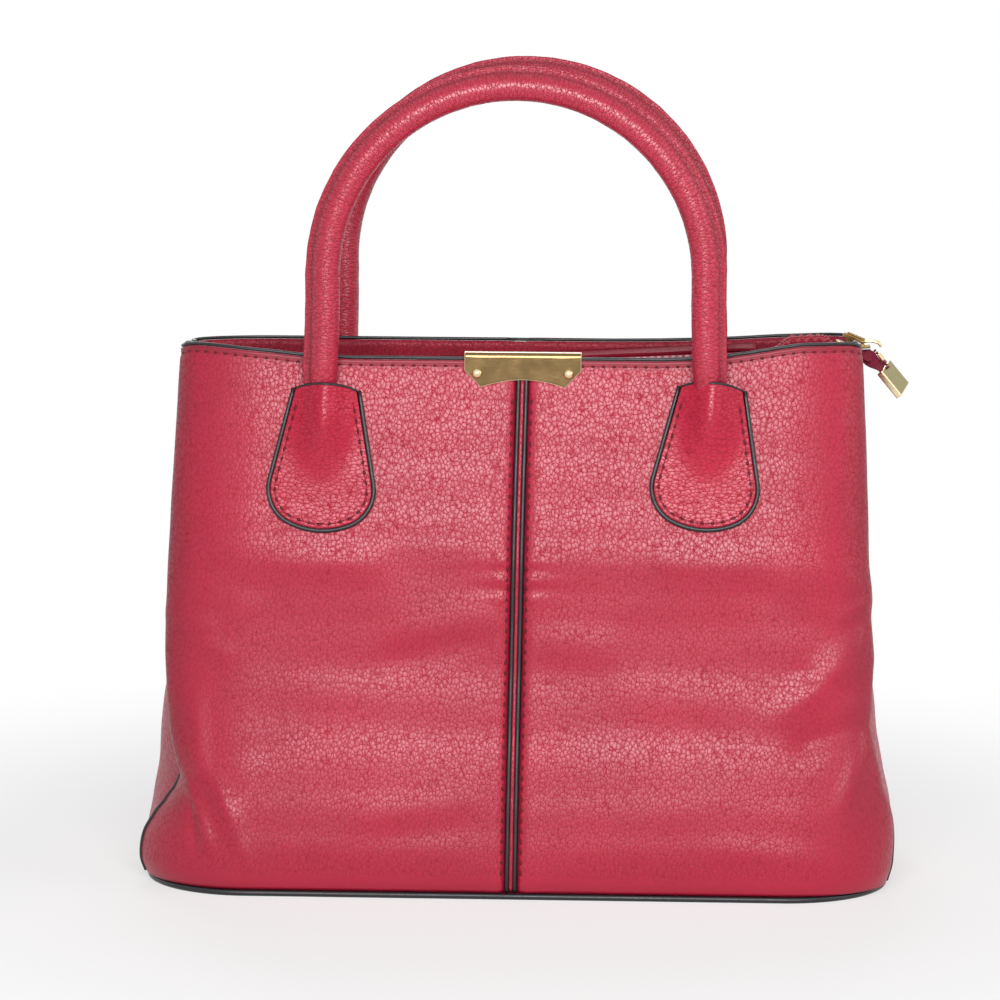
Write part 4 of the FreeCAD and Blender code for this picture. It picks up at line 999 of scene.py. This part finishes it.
for side, side_name in SIDE_NAMES.items():
    body = side_name + "_handle"
    line = handle_line(side)
    last = len(line) - 1

    def cover_place(across, along):
        index = round(along * last)
        centre, out = line[index]
        tangent = (line[min(index + 1, last)][0] - line[max(index - 1, 0)][0]).normalized()
        sideways = tangent.cross(out).normalized()
        out = sideways.cross(tangent)
        point = roll[round(across * roll_columns)] * handle_size(centre.z)
        crumple = CRUMPLE * noise.noise(Vector((index * 0.5, across * 2.0, side * 3.0)))
        return centre + (out * point.x + sideways * point.y) * (1 + crumple)

    cover = surface(side_name + "_handle_leather", roll_columns, last, cover_place, closed=True)
    cover.data.materials.append(HANDLE_LEATHER)
    # Painted shade: the columns at the groove between the fin and the tube are darkened in colour
    layer = cover.data.attributes.new("painted_shade", "FLOAT", "POINT")
    shares = cover.data.uv_layers["shares"].data
    for loop in cover.data.loops:
        column = round(shares[loop.index].uv[0] * roll_columns) % roll_columns
        layer.data[loop.vertex_index].value = FIN_GROOVE_SHADE if column in FIN_GROOVE else 0.0
    start, end = [(0, side * HANDLE_PLANE, z) for z in (BEND_FOOT, BEND_HEAD)]
    fit_bending(cover, body, start, end, "red_leather", side_name + "_handle_cover",
                side_name + "_left_handle_end", side_name + "_right_handle_end")

    rows = []
    for face in (-side, side):
        aside = Vector((0, face * FIN_STITCH_OFF, 0))
        rows.append([centre + out * FIN_STITCH + aside for centre, out in line[::2] if centre.z > FIN_FOOT])
    sew(side_name + "_handle_fin", rows,
        lambda point: Vector((0, 1 if point.y > side * HANDLE_PLANE else -1, 0)), FIN_HOLE_SIZE, body)
    cord_line = [point for point, out in line if point.z > CORD_FOOT]
    fit(tube(side_name + "_handle_cord", cord_line, CORD_RADIUS, 12), CORD_COTTON, "cord_core",
        side_name + "_handle_core", body=body)


# Plate: pale gold sheet metal folded over the middle of the front edge, with a hollow lower edge and
# cut corners, held by two dome rivets.
CLOUD_MM = 6.25


def gold(name, colour, roughness, scratch_mm):
    """Gold-plated metal: a warm mirror, dulled in soft clouds, with fine scratches sized along each axis."""
    material, add, place = new_material(name)
    scratch_scale = tuple(1 / (size * MM) for size in scratch_mm)
    stretched = add("Mapping", {"Vector": place["Object"], "Scale": scratch_scale})
    lines = add("TexNoise", {"Vector": stretched, "Scale": 1.0, "Detail": 5.0})
    cloud = add("TexNoise", {"Vector": place["Object"], "Scale": 1 / (CLOUD_MM * MM), "Detail": 3.0})
    gloss = add("MapRange", [cloud, 0.3, 0.7, roughness - 0.05, roughness + 0.06])
    tone = add("MapRange", [lines, 0.0, 1.0, 0.8, 1.15])
    tinted = add("HueSaturation", {"Color": linear(colour), "Value": tone})
    coat(add, lines, 0.35, 0.05, {"Base Color": tinted, "Metallic": 1.0, "Roughness": gloss})
    return material


# The face's gold is darkened: a painted reflection of dark surroundings
PLATE_GOLD = gold("plate_gold", "#826B48", 0.17, (3.85, 3.85, 0.667))
# Near-white gold for the edges: a painted highlight
EDGE_HIGHLIGHT_GOLD = gold("painted_edge_highlight_gold", "#F4E3B8", 0.22, (1.11, 1.11, 1.11))
# Paler gold of the rivets, the wire and the bottom stop: partly the metal's colour, partly a painted
# highlight
BRIGHT_GOLD = gold("bright_gold", "#E6D0A0", 0.24, (1.43, 1.43, 1.43))
PLATE_MIDDLE = 1.9
PLATE_SIDE = 24.5
PLATE_CUT = 7.0
PLATE_LOW = 212.3
PLATE_HOLLOW = 3.2
PLATE_FACE_TOP = 225.4
PLATE_COLUMNS = 49
PLATE_ROWS = 24
PLATE_MM = 1.0
PLATE_ROUNDING = 0.35
# The fold over the edge, from the inside to the front: depth, height
PLATE_FOLD = [(35.2, 222.4), (35.2, 224.5), (35.2, 226.0), (35.8, 226.7), (36.5, 226.9), (38.0, 226.9),
              (40.2, 226.9), (41.0, 226.7), (41.55, 226.1)]


def plate_depth(z):
    """How far forward the plate's face stands: it leans out a little downwards."""
    return 41.85 + 0.055 * (225.0 - z)


def plate_foot(across):
    """Height of the plate's lower edge."""
    inner = PLATE_SIDE - PLATE_CUT
    if abs(across) > inner:
        return PLATE_LOW + abs(across) - inner
    return PLATE_LOW + PLATE_HOLLOW * (1 - (across / inner) ** 2)


def plate_place(across, along):
    x = mix(-PLATE_SIDE, PLATE_SIDE, across)
    folded = len(PLATE_FOLD)
    step = round(along * PLATE_ROWS)
    if step < folded:
        y, z = PLATE_FOLD[step]
    else:
        z = mix(PLATE_FACE_TOP, plate_foot(x), (step - folded) / (PLATE_ROWS - folded))
        y = plate_depth(z)
    return Vector((PLATE_MIDDLE + x, -y, z))


plate = surface("top_plate_metal", PLATE_COLUMNS, PLATE_ROWS, plate_place, flip=True)
fit(plate, PLATE_GOLD, "gold_metal", "top_plate")
# The cut rim and the rounded edges take the near-white edge gold, a painted highlight
thicken(plate, PLATE_MM, EDGE_HIGHLIGHT_GOLD)
rounding = plate.modifiers.new("rounded_edges", "BEVEL")
rounding.width = PLATE_ROUNDING * MM
rounding.segments = 2
rounding.limit_method = "ANGLE"
rounding.angle_limit = math.radians(40)
rounding.material = plate.data.materials.find(EDGE_HIGHLIGHT_GOLD.name)

# Rivet domes from the middle outwards: radius, height above the plate
DOME = [(0.0, 1.75), (0.7, 1.68), (1.4, 1.35), (1.95, 0.8), (2.25, 0.2), (2.25, -0.3)]
DOME_RINGS = len(DOME) - 1
RIVET_OFF = 19.2
RIVET_HEIGHT = 218.2
for hand in (LEFT, RIGHT):
    def dome_place(across, along):
        radius, out = DOME[round(along * DOME_RINGS)]
        x = PLATE_MIDDLE + hand * RIVET_OFF + radius * math.cos(math.tau * across)
        z = RIVET_HEIGHT + radius * math.sin(math.tau * across)
        return Vector((x, -plate_depth(RIVET_HEIGHT) - out, z))

    node_name = "plate_%s_rivet" % HAND_NAMES[hand]
    rivet = surface(node_name + "_dome", 20, DOME_RINGS, dome_place, closed=True)
    fit(rivet, BRIGHT_GOLD, "gold_metal", node_name)


# Zip: a leather panel hangs inside each top edge and carries a woven tape with a nylon coil. The last
# stretch of tape at the right end is fixed, puckered by its seam, and runs out over the corner.
ZIP_END = 143.0
ZIP_LEVEL = 224.5
ZIP_SLOPE = math.radians(3)
FLAP_HALF = 100.0
FLAP_FOLD = 35.9
FLAP_EDGE = 13.6
FLAP_RISE = 1.75
FLAP_MM = 1.2
FLAP_HINGE = (36.4, 34.0)
FLAP_HINGE_RISE = 1.15
TAPE_EDGE = 18.4
TAPE_COIL = 3.4
TAPE_RISE = 0.3
TAPE_MM = 0.6


def zip_height(x):
    """Height of the closed zip, which falls a little to the left."""
    return ZIP_LEVEL - (ZIP_END - x) * math.tan(ZIP_SLOPE)


ZIP_CLOTH = woven("zip_tape_cloth", "#B51A38", "#9C122D", 0.45)
TAIL_CLOTH = woven("zip_tail_cloth", "#8A1738", "#74112E", 0.45)
ZIP_COIL = glossy("nylon_coil", "#6A1230", 0.5, 0.9, 0.2)
END_COIL = glossy("red_nylon_coil", "#A0172F", 0.4, 0.9, 0.2)
FLAP_LEATHER = leather("zip_panel_cowhide", "#9C1A34", "#6E0A1C", depth_mm=0.16, roughness=0.7, sheen=0.1)

for side, side_name in SIDE_NAMES.items():
    body = side_name + "_zip_flap"

    def flap_place(across, along):
        x = mix(-FLAP_HALF, FLAP_HALF, across)
        y = mix(FLAP_FOLD, FLAP_EDGE, along)
        wave = 0.5 * noise.noise(Vector((x * 0.04, along * 1.5, side * 5.0)))
        sag = (0.9 * math.sin(math.pi * along) + wave) * along
        return Vector((x, side * y, zip_height(x) + FLAP_RISE - sag))

    def tape_place(across, along):
        x = mix(0.3 - FLAP_HALF, FLAP_HALF - 0.3, across)
        wave = 0.12 * noise.noise(Vector((x * 0.12, side * 4.0, 0.0)))
        return Vector((x, side * mix(TAPE_EDGE, TAPE_COIL, along), zip_height(x) + TAPE_RISE + wave))

    flap = surface(side_name + "_zip_panel_leather", 100, 12, flap_place, flip=side == BACK)
    flap.data.materials.append(FLAP_LEATHER)
    thicken(flap, FLAP_MM, EDGE_PAINT)
    start, end = [(0, side * y, zip_height(0) + FLAP_HINGE_RISE) for y in FLAP_HINGE]
    fit_bending(flap, body, start, end, "facing_leather", side_name + "_zip_panel")
    tape = surface(side_name + "_zip_tape_cloth", 100, 6, tape_place, flip=side == BACK)
    thicken(tape, TAPE_MM)
    fit(tape, ZIP_CLOTH, "zip_tape", side_name + "_zip_tape", body=body)
    dress(side_name + "_zip_teeth", ZIP_COIL)

END_TAPE_START = FLAP_HALF + 0.4
END_TAPE_TIP = 148.8
END_TAPE_HALF = 9.0
END_TAPE_LIFT = 6.6
END_TAPE_PUCKER = 0.8
END_TAPE_FIXED = 4.2
END_TAPE_DARK = 141.5
FRONT_DROOP = 56
BACK_DROOP = 24


def end_tape_rise(x):
    """How far the sewn end of the zip stands up above the level of the zip."""
    return END_TAPE_LIFT * rise(x, 103, 13) * smoothstep((137 - x) / 9)


def end_tape_place(across, along):
    """Two short tapes side by side, puckered by their seam, drooping beyond the slider."""
    x = mix(END_TAPE_START, END_TAPE_TIP, across)
    y = mix(-END_TAPE_HALF, END_TAPE_HALF, along)
    sewn = rise(abs(y), 2.5, 4) * rise(x, 104, 12) * smoothstep((139 - x) / 8)
    pucker = END_TAPE_PUCKER * math.sin(x * 1.7 + 0.5 * math.sin(x)) * sewn
    droop = math.radians(FRONT_DROOP if y < 0 else BACK_DROOP) * rise(x, 142.5, 6)
    free = max(abs(y) - END_TAPE_FIXED, 0)
    y = math.copysign(abs(y) - free * (1 - math.cos(droop)), y)
    return Vector((x, y, zip_height(x) + TAPE_RISE + end_tape_rise(x) + pucker - free * math.sin(droop)))


end_tape = surface("zip_end_tape_cloth", 120, 24, end_tape_place)
thicken(end_tape, TAPE_MM)
fit(end_tape, ZIP_CLOTH, "zip_tape", "zip_end_tapes")
end_tape.data.materials.append(TAIL_CLOTH)
for face in end_tape.data.polygons:
    face.material_index = 1 if face.center.x > END_TAPE_DARK * MM else 0

COIL_START = 102
COIL_LENGTH = 36
COIL_PITCH = 1.3
COIL_OFF = 0.8
COIL_SIZE = (0.5, 1.0, 0.7)
coil_turns = []
for step in range(int(COIL_LENGTH / COIL_PITCH)):
    x = COIL_START + step * COIL_PITCH
    for y in (-COIL_OFF, COIL_OFF):
        middle = Vector((x + y * 0.4, y, zip_height(x) + 0.5 + end_tape_rise(x)))
        coil_turns.append((middle, Matrix.Identity(3)))
fit(beads("zip_end_coil", coil_turns, COIL_SIZE), END_COIL, "zip_tape", "zip_end_teeth")


# Slider: two cast plates joined by a post, flared where the tapes part, with a sloping crown on top
# that holds the wire loop. Its own measures run along the zip from the middle of the slider.
def block(name, low, high, rounding, cuts=0):
    """Box with rounded edges between two corners, cut across its length where it is bent later."""
    bm = bmesh.new()
    bmesh.ops.create_cube(bm, size=1.0)
    if cuts:
        long_edges = [edge for edge in bm.edges if abs(edge.verts[0].co.x - edge.verts[1].co.x) > 0.5]
        bmesh.ops.subdivide_edges(bm, edges=long_edges, cuts=cuts, use_grid_fill=True)
    for vert in bm.verts:
        vert.co = Vector([mix(a, b, share + 0.5) for a, b, share in zip(low, high, vert.co)]) * MM
    sharp = [edge for edge in bm.edges if edge.calc_face_angle(0) > 0.5]
    bmesh.ops.bevel(bm, geom=sharp, offset=rounding * MM, offset_type="OFFSET", segments=2, profile=0.5,
                    affect="EDGES", clamp_overlap=True, material=-1)
    return from_bmesh(name, bm)


def moved(x, y, z):
    return Matrix.Translation(Vector((x, y, z)) * MM)


def turned(degrees, axis):
    return Matrix.Rotation(math.radians(degrees), 4, axis)


def joined(name, parts):
    """One mesh out of several."""
    bm = bmesh.new()
    for part in parts:
        bm.from_mesh(part.data)
        bpy.data.objects.remove(part)
    return from_bmesh(name, bm)


CAST_GOLD = gold("cast_gold", "#8C7146", 0.26, (1.43, 1.43, 1.43))
SLIDER_AT = moved(ZIP_END, 0, ZIP_LEVEL) @ Matrix.Rotation(-ZIP_SLOPE, 4, "Y")
# Plates: low face, high face, mouth, flare of the mouth
SLIDER_PLATES = [(1.45, 2.65, -8.8, 2.6), (-2.65, -1.45, -5.5, -0.4)]
SLIDER_END = 5.5
SLIDER_HALF = 4.5
FLARE_START = -1.5
MOUTH_NARROWING = 0.55
# Feet of the crown: place along the slider, top
CROWN_FEET = [(-3.8, 5.8), (2.3, 4.2)]
# Crown: the saddle and its two cheeks, each between two corners
CROWN_PARTS = [((-4.6, -1.9, -1.3), (4.2, 1.9, 0.9)), ((-3.2, -1.75, 0.7), (5.0, -0.75, 1.6)),
               ((-3.2, 0.75, 0.7), (5.0, 1.75, 1.6))]
CROWN_AT = moved(-1.4, 0, 5.7) @ turned(25, "Y")

slider_parts = []
for low, high, mouth, flare in SLIDER_PLATES:
    flat = block("slider_plate", (mouth, -SLIDER_HALF, low), (SLIDER_END, SLIDER_HALF, high), 0.4, cuts=10)
    for vert in flat.data.vertices:
        nose = smoothstep((FLARE_START - vert.co.x / MM) / (FLARE_START - mouth))
        vert.co.y *= mix(1.0, MOUTH_NARROWING, nose)
        vert.co.z += flare * nose * MM
    slider_parts.append(flat)
slider_parts.append(block("slider_post", (-5.4, -0.5, -1.5), (-2.5, 0.5, 1.5), 0.1))
for x, top in CROWN_FEET:
    slider_parts.append(block("slider_bridge_foot", (x - 0.8, -1.7, 2.3), (x + 0.8, 1.7, top), 0.3))
for low, high in CROWN_PARTS:
    slider_parts.append(block("slider_crown", low, high, 0.4))
    slider_parts[-1].data.transform(CROWN_AT)
slider = joined("zip_slider_casting", slider_parts)
slider.data.transform(SLIDER_AT)
fit(slider, CAST_GOLD, "gold_metal", "zip_slider", body="zip_slider")


# Wire loop: gold-plated wire bent to a long ring, its ends closed inside the slider's crown. It swings
# on the slider and hangs over its end. The two lines give the ring as it is seen from the front.
LOOP_X = smooth_curve([(0, 144.6), (0.35, 148.0), (0.7, 151.4), (0.88, 152.6), (1, 152.8)])
LOOP_Z = smooth_curve([(0, 228.5), (0.35, 229.2), (0.7, 228.5), (0.88, 227.5), (1, 226.9)])
LOOP_HALF = 2.7
LOOP_STEPS = 48
LOOP_SQUARENESS = 0.6
WIRE_RADIUS = 0.55


def squared(value):
    """Sine or cosine drawn towards a ring with flatter sides."""
    return math.copysign(abs(value) ** LOOP_SQUARENESS, value)


loop_path = []
for step in range(LOOP_STEPS + 1):
    turn = math.tau * step / LOOP_STEPS
    along = 0.5 - 0.5 * squared(math.cos(turn))
    loop_path.append(Vector((LOOP_X(along), LOOP_HALF * squared(math.sin(turn)), LOOP_Z(along))))
wire = tube("zip_pull_wire", loop_path, WIRE_RADIUS)
fit(wire, BRIGHT_GOLD, "gold_metal", "zip_pull_loop", body="zip_pull")


# Zip tail: the tape's end hangs off the right corner, its front half drooping, with a bottom stop on
# the coil and a pressed metal cap that hangs a little twisted.
TAIL_BEND = SLIDER_AT @ moved(6.5, 0, 0) @ turned(53, "Y")
TAIL_START = -1.0
TAIL_HALF = 8.2
TAIL_BLEND = (-0.2, 3.4)
TAIL_FRONT_DROOP = 60
TAIL_COIL_START = 0.6
TAIL_COIL_TURNS = 8
CAP_START = 8.4
CAP_END = 21.8
CAP_HALF = 8.9
CAP_TWIST = 17
CAP_OVERLAP = 2.5


def on_tail(x, y, z):
    """Place measured along, across and off the hanging tail."""
    return (TAIL_BEND @ (Vector((x, y, z)) * MM)) / MM


def tail_place(across, along):
    x = mix(TAIL_START, CAP_START + CAP_OVERLAP, along)
    y = mix(-TAIL_HALF, TAIL_HALF, across)
    settled = rise(x, 0.5, 7.5)
    droop = mix(TAIL_FRONT_DROOP, CAP_TWIST, settled) if y < 0 else mix(BACK_DROOP, -CAP_TWIST, settled)
    droop = math.radians(droop)
    reach = math.sqrt(y * y + 1.0) - 1.0
    lift = TAPE_RISE - 0.75 * smoothstep((1.2 - x) / 2.2) - 0.9 * settled
    return on_tail(x, math.copysign(reach * math.cos(droop), y), lift - reach * math.sin(droop))


tail = surface("tail_cloth", 32, 24, tail_place, flip=True)
tail.data.materials.append(TAIL_CLOTH)
thicken(tail, TAPE_MM)
start, end = [on_tail(x, 0, 0) for x in TAIL_BLEND]
fit_bending(tail, "zip_tail", start, end, "zip_tape", "zip_tail_tape")
tail_turn = TAIL_BEND.to_3x3().normalized()
tail_turns = [(on_tail(TAIL_COIL_START + step * COIL_PITCH, y, 0.8), tail_turn)
              for step in range(TAIL_COIL_TURNS) for y in (-COIL_OFF, COIL_OFF)]
fit(beads("zip_tail_coil", tail_turns, COIL_SIZE), ZIP_COIL, "zip_tape", body="zip_tail")
stop = block("zip_bottom_stop_metal", (2.3, -2.6, 0.2), (6.1, 2.6, 2.0), 0.6)
stop.data.transform(TAIL_BEND)
fit(stop, BRIGHT_GOLD, "gold_metal", "zip_bottom_stop", body="zip_tail")

CAP_GOLD = gold("cap_gold", "#968C52", 0.24, (3.33, 0.625, 3.33))
cap = block("zip_end_cap_metal", (CAP_START, -CAP_HALF, -2.3), (CAP_END, CAP_HALF, 0.5), 0.45)
# The cap's sides take the near-white edge gold, a painted highlight
for face in cap.data.polygons:
    face.material_index = 0 if abs(face.normal.z) > 0.99 else 1
cap.data.transform(TAIL_BEND @ turned(CAP_TWIST, "X"))
fit(cap, CAP_GOLD, "gold_metal", "zip_end_cap", body="zip_tail")
cap.data.materials.append(EDGE_HIGHLIGHT_GOLD)
